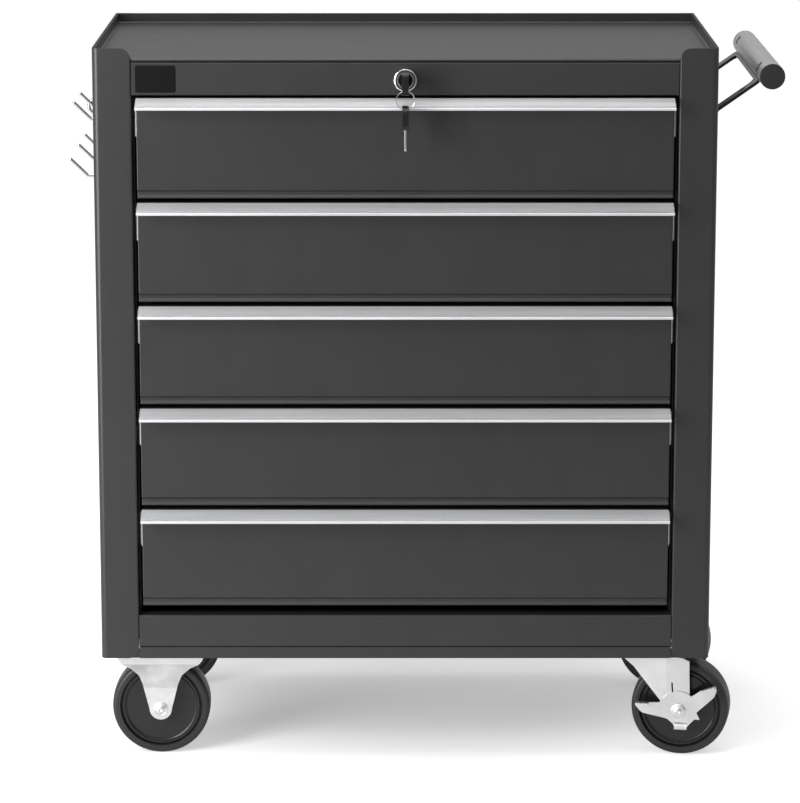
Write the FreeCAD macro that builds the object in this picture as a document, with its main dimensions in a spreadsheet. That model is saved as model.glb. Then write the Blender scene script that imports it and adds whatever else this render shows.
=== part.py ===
# Rolling tool cabinet with five drawers, a central lock, a push handle, peg hooks and four casters.
# Millimetres. X runs from the hooks to the handle, Y from the drawer fronts to the back, Z up from the floor.
# Every piece is drawn about the middle of the shell, and one shift then carries all of them to the origin,
# which is the bottom centre of the whole object's box.

import FreeCAD, Part
import Sketcher
import math
import os
import re

# Driving sizes. Each is written once, and every piece that meets another takes its place from the same names.
SIZES = {
    # shell
    "body_width": 616,
    "body_depth": 330,
    "body_height": 620,
    "shell_gauge": 1.2,
    "post_width": 38.5,
    "post_return": 20,
    "post_corner": 10,
    "corner_bend": 6,
    "edge_bend": 2,
    "back_flange": 15,
    "rim_height": 10,
    "lip_height": 2.6,
    "rim_seam": 0.2,
    "cut_past": 1,
    # front rails
    "lock_rail_drop": 13.5,
    "lock_rail_height": 33.1,
    "lock_rail_flange": 20,
    "kick_rail_rise": 12.8,
    "kick_rail_height": 32.2,
    "kick_rail_flange": 20,
    "pan_rise": 19,
    # peg holes in the left side
    "peg_pitch": 25.4,
    "peg_hole": 6.5,
    "peg_columns": 9,
    "peg_rows": 8,
    "peg_back_inset": 50,
    "peg_top_drop": 39.4,
    # slide posts
    "slide_post_start": 21,
    "slide_post_width": 24,
    # drawers
    "drawer_count": 5,
    "top_gap": 2.4,
    "front_gap": 4,
    "kick_gap": 10,
    "side_gap": 4.5,
    "front_thickness": 18,
    "drawer_gauge": 1,
    "front_lip": 14,
    "bead_height": 10.5,
    "bead_depth": 2.6,
    "bead_drop": 4.5,
    "foot_height": 1.8,
    "foot_set_back": 0.3,
    "box_side_room": 10,
    "box_back_room": 22.6,
    "box_top_drop": 6,
    "box_bottom_rise": 10,
    "pull_reach": 22,
    "pull_height": 9.7,
    "pull_wall": 1.6,
    "pull_web": 12,
    "pull_groove": 2,
    "pull_groove_depth": 0.6,
    "nose_width": 2.6,
    "nose_height": 3,
    # ball bearing slides
    "slide_inset": 22,
    "slide_back_room": 5.6,
    "middle_shorter": 20,
    "slide_height": 35,
    "slide_thickness": 13,
    "slide_gauge": 1.2,
    "slide_drop": 24.5,
    "ball_row": 3,
    "ball_width": 2,
    "ball_inset": 8.75,
    "outer_lip_gap": 2.5,
    "middle_web_gap": 2,
    "middle_reach": 11,
    "runner_reach": 6,
    "slide_play": 0.3,
    # lock
    "lock_drop": 17.5,
    "bezel_radius": 11.5,
    "bezel_proud": 5,
    "lock_body_radius": 9.5,
    "lock_body_length": 22,
    "plug_radius": 7.85,
    "plug_tail": 2,
    "running_play": 0.05,
    "hole_play": 0.2,
    "keyway_width": 2.4,
    "keyway_height": 8.4,
    "key_blade_width": 2.1,
    "key_blade_height": 8,
    "key_blade_length": 20,
    "key_shoulder": 5.5,
    "key_root": 2,
    "bow_length": 28,
    "bow_width": 23,
    "bow_thickness": 6.5,
    "bow_corner": 6,
    "bow_hole_radius": 2.5,
    "bow_hole_inset": 4.4,
    "bow_hole_rise": 5.5,
    "ring_radius": 9.1,
    "ring_wire": 1.4,
    "spare_bow_length": 23,
    "spare_key_drop": 39.5,
    # lock rod and bar
    "rod_side": 8,
    "crank_radius": 12,
    "crank_thickness": 3.5,
    "crank_pin_radius": 3,
    "crank_wall": 2,
    "crank_end": 4,
    "crank_gap": 1,
    "pin_end_gap": 0.8,
    "pin_play": 0.3,
    "slot_slack": 2.6,
    "bar_width": 24,
    "bar_gauge": 2,
    "bar_back_gap": 3,
    "bar_play": 0.3,
    "bar_arm": 7,
    "bar_web": 6,
    "bar_shoulder": 14,
    "bar_tail": 40,
    "guide_gauge": 1.2,
    "guide_height": 14,
    "guide_foot": 11,
    "catch_drop": 18,
    "catch_reach": 15,
    "catch_lip": 10,
    "catch_gauge": 1.5,
    "catch_width": 16,
    "bar_hook_width": 12,
    "bar_hook_height": 12.5,
    "bar_hook_room": 2.5,
    "bar_hook_gap": 4,
    # push handle
    "tube_radius": 12.7,
    "tube_bore": 11.3,
    "handle_inset": 15,
    "handle_reach": 54,
    "handle_drop": 29.8,
    "cap_thickness": 2.5,
    "cap_plug_length": 12,
    "bracket_slope": 35.1,
    "bracket_gauge": 3,
    "bracket_arm": 20,
    "bracket_inset": 35,
    "bracket_foot": 28,
    "bracket_bridge": 5,
    "weld_gap": 0.05,
    # peg hooks
    "hook_wire": 3.6,
    "hook_out": 14,
    "hook_reach": 32.5,
    "hook_rise": 18,
    "hook_tail": 8,
    "hook_bend": 4,
    "ring_hook_radius": 7.5,
    "ring_hook_out": 17,
    # casters
    "wheel_radius": 50,
    "wheel_room": 9,
    "wheel_width": 32,
    "hub_width": 45,
    "hub_radius": 15,
    "rim_inner_radius": 40.5,
    "disc_recess": 5,
    "axle_radius": 6,
    "axle_end": 4,
    "fork_gap": 46,
    "fork_gauge": 2.5,
    "caster_side_inset": 58,
    "plate_length": 105,
    "plate_width": 80,
    "plate_gauge": 2.5,
    "plate_room": 0.4,
    "fork_toe_radius": 12.2,
    "fork_shoulder": 43,
    "fork_shoulder_bend": 14,
    "trail": 34,
    "swivel_yaw": -10,
    "crown_room": 16,
    "crown_gauge": 3,
    "crown_front": 22,
    "crown_back": 26,
    "race_radius": 27,
    "king_pin_radius": 6,
    "king_head_radius": 9,
    "king_head": 2.5,
    "brake_gauge": 2,
    "brake_disc_radius": 16.5,
    "brake_gap": 0.3,
    "pedal_flange": 7,
    # shift from the middle of the shell to the middle of the whole object's box, measured from the solids
    "frame_x": 0,
    "frame_y": 0,
}

# Places worked out from the sizes
RULES = {
    "side": "body_width / 2",
    "inner_side": "side - shell_gauge",
    "skirt_bottom": "2 * wheel_radius + wheel_room",
    "body_top": "skirt_bottom + body_height",
    "front": "-body_depth / 2",
    "back": "body_depth / 2",
    "post_edge": "side - post_width",
    "tray_floor": "body_top - rim_height",
    "tray_under": "tray_floor - shell_gauge",
    "lock_rail_top": "body_top - lock_rail_drop",
    "lock_rail_bottom": "lock_rail_top - lock_rail_height",
    "kick_rail_bottom": "skirt_bottom + kick_rail_rise",
    "kick_rail_top": "kick_rail_bottom + kick_rail_height",
    "pan_underside": "skirt_bottom + pan_rise",
    "pan_top": "pan_underside + shell_gauge",
    "back_sheet": "back - 2 * shell_gauge",
    "peg_top_row": "body_top - peg_top_drop",
    "peg_first_column": "back - peg_back_inset - (peg_columns - 1) * peg_pitch",
    "front_top": "lock_rail_bottom - top_gap",
    "front_pitch": "(front_top - kick_rail_top - kick_gap + front_gap) / drawer_count",
    "front_height": "front_pitch - front_gap",
    "front_width": "2 * post_edge - 2 * side_gap",
    "box_width": "front_width - 2 * box_side_room",
    "rail_face": "box_width / 2 + slide_thickness",
    "slide_front": "front + slide_inset",
    "slide_back": "back_sheet - slide_back_room",
    "slide_post_front": "front + slide_post_start",
    "box_front": "front + front_thickness",
    "box_side": "box_width / 2",
    "box_back": "back_sheet - box_back_room",
    "ball_line": "rail_face - ball_inset",
    "middle_web": "rail_face - slide_gauge - middle_web_gap",
    "mid_half": "slide_height / 2 - slide_gauge - ball_row",
    "inner_half": "mid_half - slide_gauge - ball_row",
    "lock_height": "lock_rail_top - lock_drop",
    "bezel_front": "front - bezel_proud",
    "plug_back": "front + lock_body_length + plug_tail",
    "bow_start": "bezel_front - key_shoulder",
    "bow_end": "bow_start - bow_length",
    "ring_y": "bow_end + bow_hole_inset",
    "bow_hole_z": "bow_hole_rise - bow_width / 2",
    "ring_seat": "sqrt((ring_radius - ring_wire / 2)^2 - (bow_thickness / 2)^2)",
    "ring_centre": "lock_height + bow_hole_z - bow_hole_radius + hole_play - ring_seat",
    "spare_hole_z": "ring_centre - ring_seat + hole_play - bow_hole_radius",
    "bar_back": "back_sheet - bar_back_gap",
    "bar_front": "bar_back - bar_gauge",
    "crank_back": "bar_front - crank_gap",
    "crank_front": "crank_back - crank_thickness",
    "catch_back": "box_back + catch_reach",
    "handle_length": "body_depth - 2 * handle_inset",
    "handle_height": "body_top - handle_drop",
    "bracket_spacing": "handle_length - 2 * bracket_inset",
    "tube_x": "side + handle_reach",
    "plate_underside": "pan_underside - plate_gauge",
    "fork_outer": "fork_gap / 2 + fork_gauge",
    "caster_x": "side - caster_side_inset",
    "caster_y": "back_sheet - shell_gauge - plate_room - plate_width / 2",
    "crown_top": "2 * wheel_radius + crown_room",
    "crown_under": "crown_top - crown_gauge",
}

DRAWERS = range(1, SIZES["drawer_count"] + 1)

doc = FreeCAD.newDocument("ToolCabinet")
sheet = doc.addObject("Spreadsheet::Sheet", "Sizes")
for row, (alias, size) in enumerate(SIZES.items(), start=1):
    sheet.set(f"A{row}", alias)
    sheet.set(f"B{row}", str(size))
    sheet.setAlias(f"B{row}", alias)
doc.recompute()

nodes = []


def bound(rule):
    """The rule as an expression on the sheet: names become cells, and named places their own rules."""

    def cell(found):
        word = found.group(0)
        if word in RULES:
            return "(" + bound(RULES[word]) + ")"
        return "Sizes." + word if word in SIZES else word

    return re.sub(r"[a-z][a-z0-9_]*", cell, str(rule))


def value(rule):
    """The rule's number at the present sizes."""
    return float(sheet.evalExpression(bound(rule)))


def seat(piece, x="0", y="0", z="0", turn=None):
    """Places a sub-part by rules, with the shift to the object's origin added."""
    piece.setExpression("Placement.Base.x", bound(f"{x} + frame_x"))
    piece.setExpression("Placement.Base.y", bound(f"{y} + frame_y"))
    piece.setExpression("Placement.Base.z", bound(z))
    if turn:
        piece.setExpression("Placement.Rotation.Angle", bound(turn))


def new_body(label, x="0", y="0", z="0", turn=None):
    """An empty sub-part whose label names its node."""
    body = doc.addObject("PartDesign::Body", label)
    body.Label = label
    seat(body, x, y, z, turn)
    nodes.append(body)
    return body


def origin_feature(body, role):
    """One of a sub-part's own origin planes or axes."""
    return next(f for f in body.Origin.OriginFeatures if f.Role == role)


def add_polygon(sketch, corners):
    """A closed polygon in a sketch, with both coordinates of each corner bound to the sheet."""
    first = sketch.GeometryCount
    count = len(corners)
    points = [FreeCAD.Vector(value(u), value(v), 0) for u, v in corners]
    for i in range(count):
        sketch.addGeometry(Part.LineSegment(points[i], points[(i + 1) % count]), False)
    for i in range(count):
        sketch.addConstraint(Sketcher.Constraint("Coincident", first + i, 2, first + (i + 1) % count, 1))
    for i, (u, v) in enumerate(corners):
        for kind, rule, number in (("DistanceX", u, points[i].x), ("DistanceY", v, points[i].y)):
            fixed = sketch.addConstraint(Sketcher.Constraint(kind, -1, 1, first + i, 1, number))
            sketch.setExpression(f"Constraints[{fixed}]", bound(rule))


def add_circle(sketch, u, v, radius):
    """A circle in a sketch, with its centre and radius bound to the sheet."""
    centre = FreeCAD.Vector(value(u), value(v), 0)
    circle = sketch.addGeometry(Part.Circle(centre, FreeCAD.Vector(0, 0, 1), value(radius)), False)
    for kind, rule, number in (("DistanceX", u, centre.x), ("DistanceY", v, centre.y)):
        fixed = sketch.addConstraint(Sketcher.Constraint(kind, -1, 1, circle, 3, number))
        sketch.setExpression(f"Constraints[{fixed}]", bound(rule))
    fixed = sketch.addConstraint(Sketcher.Constraint("Radius", circle, value(radius)))
    sketch.setExpression(f"Constraints[{fixed}]", bound(radius))


def add_sketch(body, role, loops, level):
    """A sketch at a level along its plane's world axis. A loop is a list of corners, or a circle's tuple."""
    sketch = body.newObject("Sketcher::SketchObject", "Outline")
    sketch.AttachmentSupport = [(origin_feature(body, role), "")]
    sketch.MapMode = "FlatFace"
    sign = "-" if role == "XZ_Plane" else ""
    sketch.setExpression("AttachmentOffset.Base.z", bound(f"{sign}({level})"))
    for loop in loops:
        if isinstance(loop, tuple):
            add_circle(sketch, *loop)
        else:
            add_polygon(sketch, loop)
    return sketch


def slab(body, role, loops, low, high):
    """Adds the outlines' prism, from the low to the high level along the plane's world axis."""
    pad = body.newObject("PartDesign::Pad", "Slab")
    pad.Profile = add_sketch(body, role, loops, low)
    pad.Reversed = role == "XZ_Plane"
    pad.setExpression("Length", bound(f"({high}) - ({low})"))
    return pad


def cut(body, role, loops, low, high):
    """Takes the outlines' prism away, and makes sure that it took something."""
    doc.recompute()
    before = body.Tip.Shape.Volume
    pocket = body.newObject("PartDesign::Pocket", "Opening")
    pocket.Profile = add_sketch(body, role, loops, low)
    pocket.Reversed = role != "XZ_Plane"
    pocket.setExpression("Length", bound(f"({high}) - ({low})"))
    doc.recompute()
    if not pocket.Shape.Volume < before:
        raise ValueError(f"{body.Label}: a cut took nothing away")
    return pocket


def revolve(body, role, axis, corners):
    """Turns a closed half section about one of the sketch's own axes."""
    turned = body.newObject("PartDesign::Revolution", "Turned")
    sketch = add_sketch(body, role, [corners], "0")
    turned.Profile = sketch
    turned.ReferenceAxis = (sketch, [axis])
    turned.Angle = 360
    return turned


def edges_along(shape, axis, spots):
    """Names of the straight edges that run along an axis through one of the spots in the plane across it."""
    across = {"x": ("y", "z"), "y": ("x", "z"), "z": ("x", "y")}[axis]
    found = []
    for number, edge in enumerate(shape.Edges, start=1):
        if not isinstance(edge.Curve, Part.Line):
            continue
        if abs(getattr(edge.tangentAt(edge.FirstParameter), axis)) < 0.999:
            continue
        middle = edge.CenterOfMass
        place = [getattr(middle, name) for name in across]
        if any(math.dist(place, spot) < 0.02 for spot in spots):
            found.append(f"Edge{number}")
    return found


def round_edges(body, axis, radius, spots):
    """Rounds the edges along an axis that pass through the given spots."""
    doc.recompute()
    tip = body.Tip
    places = [[value(u), value(v)] for u, v in spots]
    names = edges_along(tip.Shape, axis, places)
    if len(names) < len(spots):
        raise ValueError(f"{body.Label}: {len(names)} edges found for {len(spots)} spots")
    rounding = body.newObject("PartDesign::Fillet", "Rounding")
    rounding.Base = (tip, names)
    rounding.setExpression("Radius", bound(radius))
    return rounding


def repeat(body, mirrors=(), step=None, downwards=True):
    """Repeats the whole sub-part: mirrored in its own planes, then stepped along an axis."""
    doc.recompute()
    copies = body.newObject("PartDesign::MultiTransform", "Copies")
    copies.Originals = [body.Tip]
    copies.TransformMode = "Whole shape"
    steps = []
    for role in mirrors:
        mirror = body.newObject("PartDesign::Mirrored", "Mirror")
        mirror.MirrorPlane = (origin_feature(body, role), [""])
        steps.append(mirror)
    if step:
        role, offset, count = step
        row = body.newObject("PartDesign::LinearPattern", "Row")
        row.Direction = (origin_feature(body, role), [""])
        row.Mode = "Spacing"
        row.Reversed = downwards
        row.setExpression("Offset", bound(offset))
        row.Occurrences = count
        steps.append(row)
    copies.Transformations = steps
    body.Tip = copies


def rectangle(low_u, low_v, high_u, high_v):
    """A rectangle's corners from two opposite ones."""
    return [(low_u, low_v), (high_u, low_v), (high_u, high_v), (low_u, high_v)]


def hexagon(u, v, radius):
    """A regular hexagon's corners about a centre."""
    turns = [f"{60 * corner}deg" for corner in range(6)]
    return [(f"{u} + {radius} * cos({turn})", f"{v} + {radius} * sin({turn})") for turn in turns]


def mirrored(corners, sign):
    """The corners on the chosen side of the middle plane."""
    return [(f"{sign}({u})", v) for u, v in corners]


# Shell


def side_panel(label, sign):
    """A side sheet folded into the front post and its return, and into the back flange."""
    body = new_body(label)
    plan = [
        ("side", "front"),
        ("side", "back"),
        ("side - back_flange", "back"),
        ("side - back_flange", "back - shell_gauge"),
        ("inner_side", "back - shell_gauge"),
        ("inner_side", "front + shell_gauge"),
        ("post_edge + shell_gauge", "front + shell_gauge"),
        ("post_edge + shell_gauge", "front + post_return"),
        ("post_edge", "front + post_return"),
        ("post_edge", "front"),
    ]
    slab(body, "XY_Plane", [mirrored(plan, sign)], "skirt_bottom", "body_top")
    round_edges(body, "z", "corner_bend", mirrored([("side", "front")], sign))
    inner_corner = mirrored([("inner_side", "front + shell_gauge")], sign)
    round_edges(body, "z", "corner_bend - shell_gauge", inner_corner)
    round_edges(body, "z", "edge_bend", mirrored([("post_edge", "front"), ("side", "back")], sign))
    # the return stops at the tray above and at the base pan below
    fold = "post_edge + shell_gauge + edge_bend"
    gap = rectangle("post_edge - cut_past", "front + shell_gauge", fold, "front + post_return + cut_past")
    cut(body, "XY_Plane", [mirrored(gap, sign)], "tray_under", "body_top + cut_past")
    cut(body, "XY_Plane", [mirrored(gap, sign)], "skirt_bottom - cut_past", "pan_top")
    # rounded inner corners of the post's face
    for edge, beyond, centre in (
        ("body_top", "body_top + cut_past", "body_top - post_corner"),
        ("skirt_bottom", "skirt_bottom - cut_past", "skirt_bottom + post_corner"),
    ):
        outside = "post_edge - cut_past"
        low = "front - cut_past"
        high = "front + post_return + cut_past"
        corner = [(outside, centre), (outside, beyond), ("post_edge + post_corner", beyond)]
        corner += [("post_edge + post_corner", edge)]
        turn = "+" if edge == "body_top" else "-"
        for degrees in range(75, 0, -15):
            along = f"post_edge + post_corner * (1 - cos({degrees}deg))"
            up = f"{centre} {turn} post_corner * sin({degrees}deg)"
            corner.append((along, up))
        corner.append(("post_edge", centre))
        cut(body, "XZ_Plane", [mirrored(corner, sign)], low, high)
    return body


def peg_holes(body):
    """Square holes in rows and columns through the left side."""
    half = "peg_hole / 2"
    column = "peg_first_column"
    row = "peg_top_row"
    hole = rectangle(f"{column} - {half}", f"{row} - {half}", f"{column} + {half}", f"{row} + {half}")
    first = cut(body, "YZ_Plane", [hole], "-side - cut_past", "-inner_side + cut_past")
    grid = body.newObject("PartDesign::LinearPattern", "PegHoles")
    grid.Originals = [first]
    grid.Direction = (origin_feature(body, "Y_Axis"), [""])
    grid.Mode = "Spacing"
    grid.setExpression("Offset", bound("peg_pitch"))
    grid.setExpression("Occurrences", bound("peg_columns"))
    grid.Direction2 = (origin_feature(body, "Z_Axis"), [""])
    grid.Mode2 = "Spacing"
    grid.Reversed2 = True
    grid.setExpression("Offset2", bound("peg_pitch"))
    grid.setExpression("Occurrences2", bound("peg_rows"))
    body.Tip = grid


def back_panel():
    """A flat sheet inside the side panels' back flanges."""
    body = new_body("back_panel")
    sheet_plan = rectangle("-inner_side", "back_sheet", "inner_side", "back - shell_gauge")
    slab(body, "XY_Plane", [sheet_plan], "skirt_bottom", "body_top")


def top_tray():
    """The top sheet, with a rounded lip turned down between the posts."""
    body = new_body("top_tray")
    rim = "inner_side - shell_gauge"
    right_edge = [
        ("post_edge", "front"),
        ("post_edge", "front + shell_gauge"),
        ("side - corner_bend", "front + shell_gauge"),
        ("inner_side", "front + corner_bend"),
        (rim, "front + corner_bend"),
        (rim, "back_sheet - shell_gauge"),
    ]
    floor = right_edge + [(f"-({u})", v) for u, v in reversed(right_edge)]
    slab(body, "XY_Plane", [floor], "tray_under", "tray_floor")
    lip = rectangle("-post_edge", "front", "post_edge", "front + shell_gauge")
    slab(body, "XY_Plane", [lip], "tray_floor - lip_height", "tray_floor")
    round_edges(body, "x", "edge_bend", [("front", "tray_floor")])


def top_rim():
    """The rim's three strips, which frame the top sheet inside the sides and the back."""
    body = new_body("top_rim")
    inner = "inner_side - shell_gauge"
    right = rectangle(inner, "front + corner_bend", "inner_side", "back_sheet")
    end = f"({inner} - rim_seam)"
    across = rectangle(f"-{end}", "back_sheet - shell_gauge", end, "back_sheet")
    slab(body, "XY_Plane", [right, mirrored(right, "-"), across], "tray_under", "body_top")


def lock_rail():
    """The folded rail above the drawers, with the lock's hole."""
    body = new_body("lock_rail")
    section = [
        ("front + lock_rail_flange", "lock_rail_top"),
        ("front", "lock_rail_top"),
        ("front", "lock_rail_bottom"),
        ("front + lock_rail_flange", "lock_rail_bottom"),
        ("front + lock_rail_flange", "lock_rail_bottom + shell_gauge"),
        ("front + shell_gauge", "lock_rail_bottom + shell_gauge"),
        ("front + shell_gauge", "lock_rail_top - shell_gauge"),
        ("front + lock_rail_flange", "lock_rail_top - shell_gauge"),
    ]
    slab(body, "YZ_Plane", [section], "-post_edge", "post_edge")
    round_edges(body, "x", "edge_bend", [("front", "lock_rail_bottom")])
    hole = ("0", "lock_height", "lock_body_radius + hole_play")
    cut(body, "XZ_Plane", [hole], "front - cut_past", "front + shell_gauge + cut_past")


def kick_rail():
    """The folded rail below the drawers, in front of the base pan's skirt."""
    body = new_body("kick_rail")
    section = [
        ("front", "kick_rail_bottom"),
        ("front + shell_gauge", "kick_rail_bottom"),
        ("front + shell_gauge", "kick_rail_top - shell_gauge"),
        ("front + kick_rail_flange", "kick_rail_top - shell_gauge"),
        ("front + kick_rail_flange", "kick_rail_top"),
        ("front", "kick_rail_top"),
    ]
    slab(body, "YZ_Plane", [section], "-post_edge", "post_edge")
    round_edges(body, "x", "edge_bend", [("front", "kick_rail_top")])


def base_pan():
    """The bottom sheet, with a skirt turned down all round."""
    body = new_body("base_pan")
    right = [
        ("side - corner_bend", "front + shell_gauge"),
        ("inner_side", "front + corner_bend"),
        ("inner_side", "back_sheet"),
    ]
    inner_right = [
        ("side - corner_bend - shell_gauge", "front + 2 * shell_gauge"),
        ("inner_side - shell_gauge", "front + corner_bend + shell_gauge"),
        ("inner_side - shell_gauge", "back_sheet - shell_gauge"),
    ]
    outer = right + [(f"-({u})", v) for u, v in reversed(right)]
    inner = inner_right + [(f"-({u})", v) for u, v in reversed(inner_right)]
    slab(body, "XY_Plane", [outer], "pan_underside", "pan_top")
    slab(body, "XY_Plane", [outer, inner], "skirt_bottom", "pan_underside")


def slide_posts():
    """Four upright channels that carry the slides, from the base pan to the tray."""
    body = new_body("slide_posts")
    low = "slide_post_front"
    high = "slide_post_front + slide_post_width"
    plan = [
        ("rail_face", low),
        ("inner_side", low),
        ("inner_side", f"{low} + shell_gauge"),
        ("rail_face + shell_gauge", f"{low} + shell_gauge"),
        ("rail_face + shell_gauge", f"{high} - shell_gauge"),
        ("inner_side", f"{high} - shell_gauge"),
        ("inner_side", high),
        ("rail_face", high),
    ]
    slab(body, "XY_Plane", [plan], "pan_top", "tray_under")
    repeat(body, mirrors=("YZ_Plane", "XZ_Plane"))


# Ball bearing slides: a fixed outer channel, a middle channel with the ball rows, and the drawer's runner


def both_ways(upper):
    """A section's corners above the middle, followed by the same ones below it in reverse."""
    return upper + [(u, f"-({v})") for u, v in reversed(upper)]


def slide_outer_members():
    """Ten fixed channels on the slide posts."""
    body = new_body("slide_outer_members", z="front_top - slide_drop")
    section = both_ways([
        ("rail_face - slide_gauge", "slide_height / 2 - slide_gauge"),
        ("box_side + outer_lip_gap", "slide_height / 2 - slide_gauge"),
        ("box_side + outer_lip_gap", "slide_height / 2"),
        ("rail_face", "slide_height / 2"),
    ])
    slab(body, "XZ_Plane", [section], "slide_front", "slide_back")
    repeat(body, mirrors=("YZ_Plane",), step=("Z_Axis", "front_pitch", len(DRAWERS)))


def middle_members(number):
    """A drawer's two middle channels, each with four ball rows on its flanges."""
    level = f"front_top - {number - 1} * front_pitch - slide_drop"
    body = new_body(f"drawer_{number}_slide_middles", z=level)
    row_outer = "slide_height / 2 - slide_gauge - slide_play"
    row_inner = "inner_half + slide_play"
    row_side = "ball_line + ball_width / 2"
    row_edge = "ball_line - ball_width / 2"
    section = both_ways([
        ("middle_web - slide_gauge", "mid_half - slide_gauge"),
        (row_side, "mid_half - slide_gauge"),
        (row_side, row_inner),
        (row_edge, row_inner),
        (row_edge, "mid_half - slide_gauge"),
        ("rail_face - middle_reach", "mid_half - slide_gauge"),
        ("rail_face - middle_reach", "mid_half"),
        (row_edge, "mid_half"),
        (row_edge, row_outer),
        (row_side, row_outer),
        (row_side, "mid_half"),
        ("middle_web", "mid_half"),
    ])
    slab(body, "XZ_Plane", [section], "slide_front", "slide_back - middle_shorter")
    repeat(body, mirrors=("YZ_Plane",))


def runners(number):
    """The two slide members fastened to a drawer's sides."""
    level = f"front_top - {number - 1} * front_pitch - slide_drop"
    body = new_body(f"drawer_{number}_runners", z=level)
    section = both_ways([
        ("box_side + slide_gauge", "inner_half - slide_gauge"),
        ("rail_face - runner_reach", "inner_half - slide_gauge"),
        ("rail_face - runner_reach", "inner_half"),
        ("box_side", "inner_half"),
    ])
    slab(body, "XZ_Plane", [section], "slide_front", "box_back")
    repeat(body, mirrors=("YZ_Plane",))


# Drawers: each is drawn with the top of its front at height 0


def drawer_tray(number):
    """A folded box, with the catch for the lock bar at its back."""
    body = new_body(f"drawer_{number}_tray", z=f"front_top - {number - 1} * front_pitch")
    floor = "-front_height + box_bottom_rise"
    outer = rectangle("-box_side", "box_front", "box_side", "box_back")
    inner = rectangle(
        "-box_side + drawer_gauge",
        "box_front + drawer_gauge",
        "box_side - drawer_gauge",
        "box_back - drawer_gauge",
    )
    slab(body, "XY_Plane", [outer], floor, f"{floor} + drawer_gauge")
    slab(body, "XY_Plane", [outer, inner], f"{floor} + drawer_gauge", "-box_top_drop")
    catch = [
        ("box_back", "-catch_drop"),
        ("catch_back - catch_gauge", "-catch_drop"),
        ("catch_back - catch_gauge", "-catch_drop - catch_lip"),
        ("catch_back", "-catch_drop - catch_lip"),
        ("catch_back", "-catch_drop + catch_gauge"),
        ("box_back", "-catch_drop + catch_gauge"),
    ]
    slab(body, "YZ_Plane", [catch], "-catch_width / 2", "catch_width / 2")


def drawer_front(number):
    """A folded front with a bead pressed in near its lower edge, closed by side returns."""
    body = new_body(f"drawer_{number}_front", z=f"front_top - {number - 1} * front_pitch")
    foot = "front + foot_set_back"
    valley = "-front_height + bead_height - bead_drop"
    outer = [
        ("front", "0"),
        ("front", "-front_height + bead_height"),
        ("front + bead_depth", valley),
        (foot, "-front_height + foot_height"),
        (foot, "-front_height"),
        ("box_front", "-front_height"),
    ]
    inner = [
        ("box_front", "-front_height + front_lip"),
        ("box_front - drawer_gauge", "-front_height + front_lip"),
        ("box_front - drawer_gauge", "-front_height + drawer_gauge"),
        (f"{foot} + drawer_gauge", "-front_height + drawer_gauge"),
        (f"{foot} + drawer_gauge", "-front_height + foot_height"),
        ("front + bead_depth + drawer_gauge", valley),
        ("front + drawer_gauge", "-front_height + bead_height"),
        ("front + drawer_gauge", "-drawer_gauge"),
        ("box_front - drawer_gauge", "-drawer_gauge"),
        ("box_front - drawer_gauge", "-front_lip"),
        ("box_front", "-front_lip"),
    ]
    half = "front_width / 2"
    slab(body, "YZ_Plane", [outer + inner + [("box_front", "0")]], f"-{half}", half)
    for low, high in ((f"-{half}", f"-{half} + drawer_gauge"), (f"{half} - drawer_gauge", half)):
        slab(body, "YZ_Plane", [outer + [("box_front", "0")]], low, high)
    round_edges(body, "x", "foot_height / 2", [(foot, "-front_height")])


def drawer_pull(number):
    """The extruded strip along a front's top: a sloping finger ledge with a groove and a rounded nose."""
    body = new_body(f"drawer_{number}_pull", z=f"front_top - {number - 1} * front_pitch")
    nose = "front - pull_reach"
    nose_top = "-pull_height + nose_height"
    nose_back = f"{nose} + nose_width"
    groove_back = f"{nose_back} + pull_groove"
    section = [
        ("front", "0"),
        (groove_back, nose_top + " + pull_groove_depth"),
        (groove_back, nose_top + " - pull_groove_depth"),
        (nose_back, nose_top + " - pull_groove_depth"),
        (nose_back, nose_top),
        (nose, nose_top),
        (nose, "-pull_height"),
        (nose_back, "-pull_height"),
        (nose_back, nose_top + " - pull_wall"),
        (groove_back, nose_top + " - pull_wall"),
        ("front - pull_wall", "-pull_wall - pull_wall"),
        ("front - pull_wall", "-pull_web"),
        ("front", "-pull_web"),
    ]
    slab(body, "YZ_Plane", [section], "-front_width / 2", "front_width / 2")
    round_edges(body, "x", "nose_width / 3", [(nose, "-pull_height"), (nose, nose_top)])


# Central lock


def lock_housing():
    """The chrome bezel and the barrel behind it."""
    body = new_body("lock_housing", z="lock_height")
    bore = "plug_radius + running_play"
    section = [
        ("bezel_front", bore),
        ("bezel_front", "bezel_radius"),
        ("front", "bezel_radius"),
        ("front", "lock_body_radius"),
        ("front + lock_body_length", "lock_body_radius"),
        ("front + lock_body_length", bore),
    ]
    revolve(body, "YZ_Plane", "H_Axis", section)


def lock_plug():
    """The turning plug, with its keyway."""
    body = new_body("lock_plug", z="lock_height")
    section = [
        ("bezel_front", "0"),
        ("bezel_front", "plug_radius"),
        ("plug_back", "plug_radius"),
        ("plug_back", "0"),
    ]
    revolve(body, "YZ_Plane", "H_Axis", section)
    keyway = rectangle("-keyway_width / 2", "-keyway_height / 2", "keyway_width / 2", "keyway_height / 2")
    cut(body, "XZ_Plane", [keyway], "bezel_front - cut_past", "bezel_front + key_blade_length + cut_past")


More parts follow.
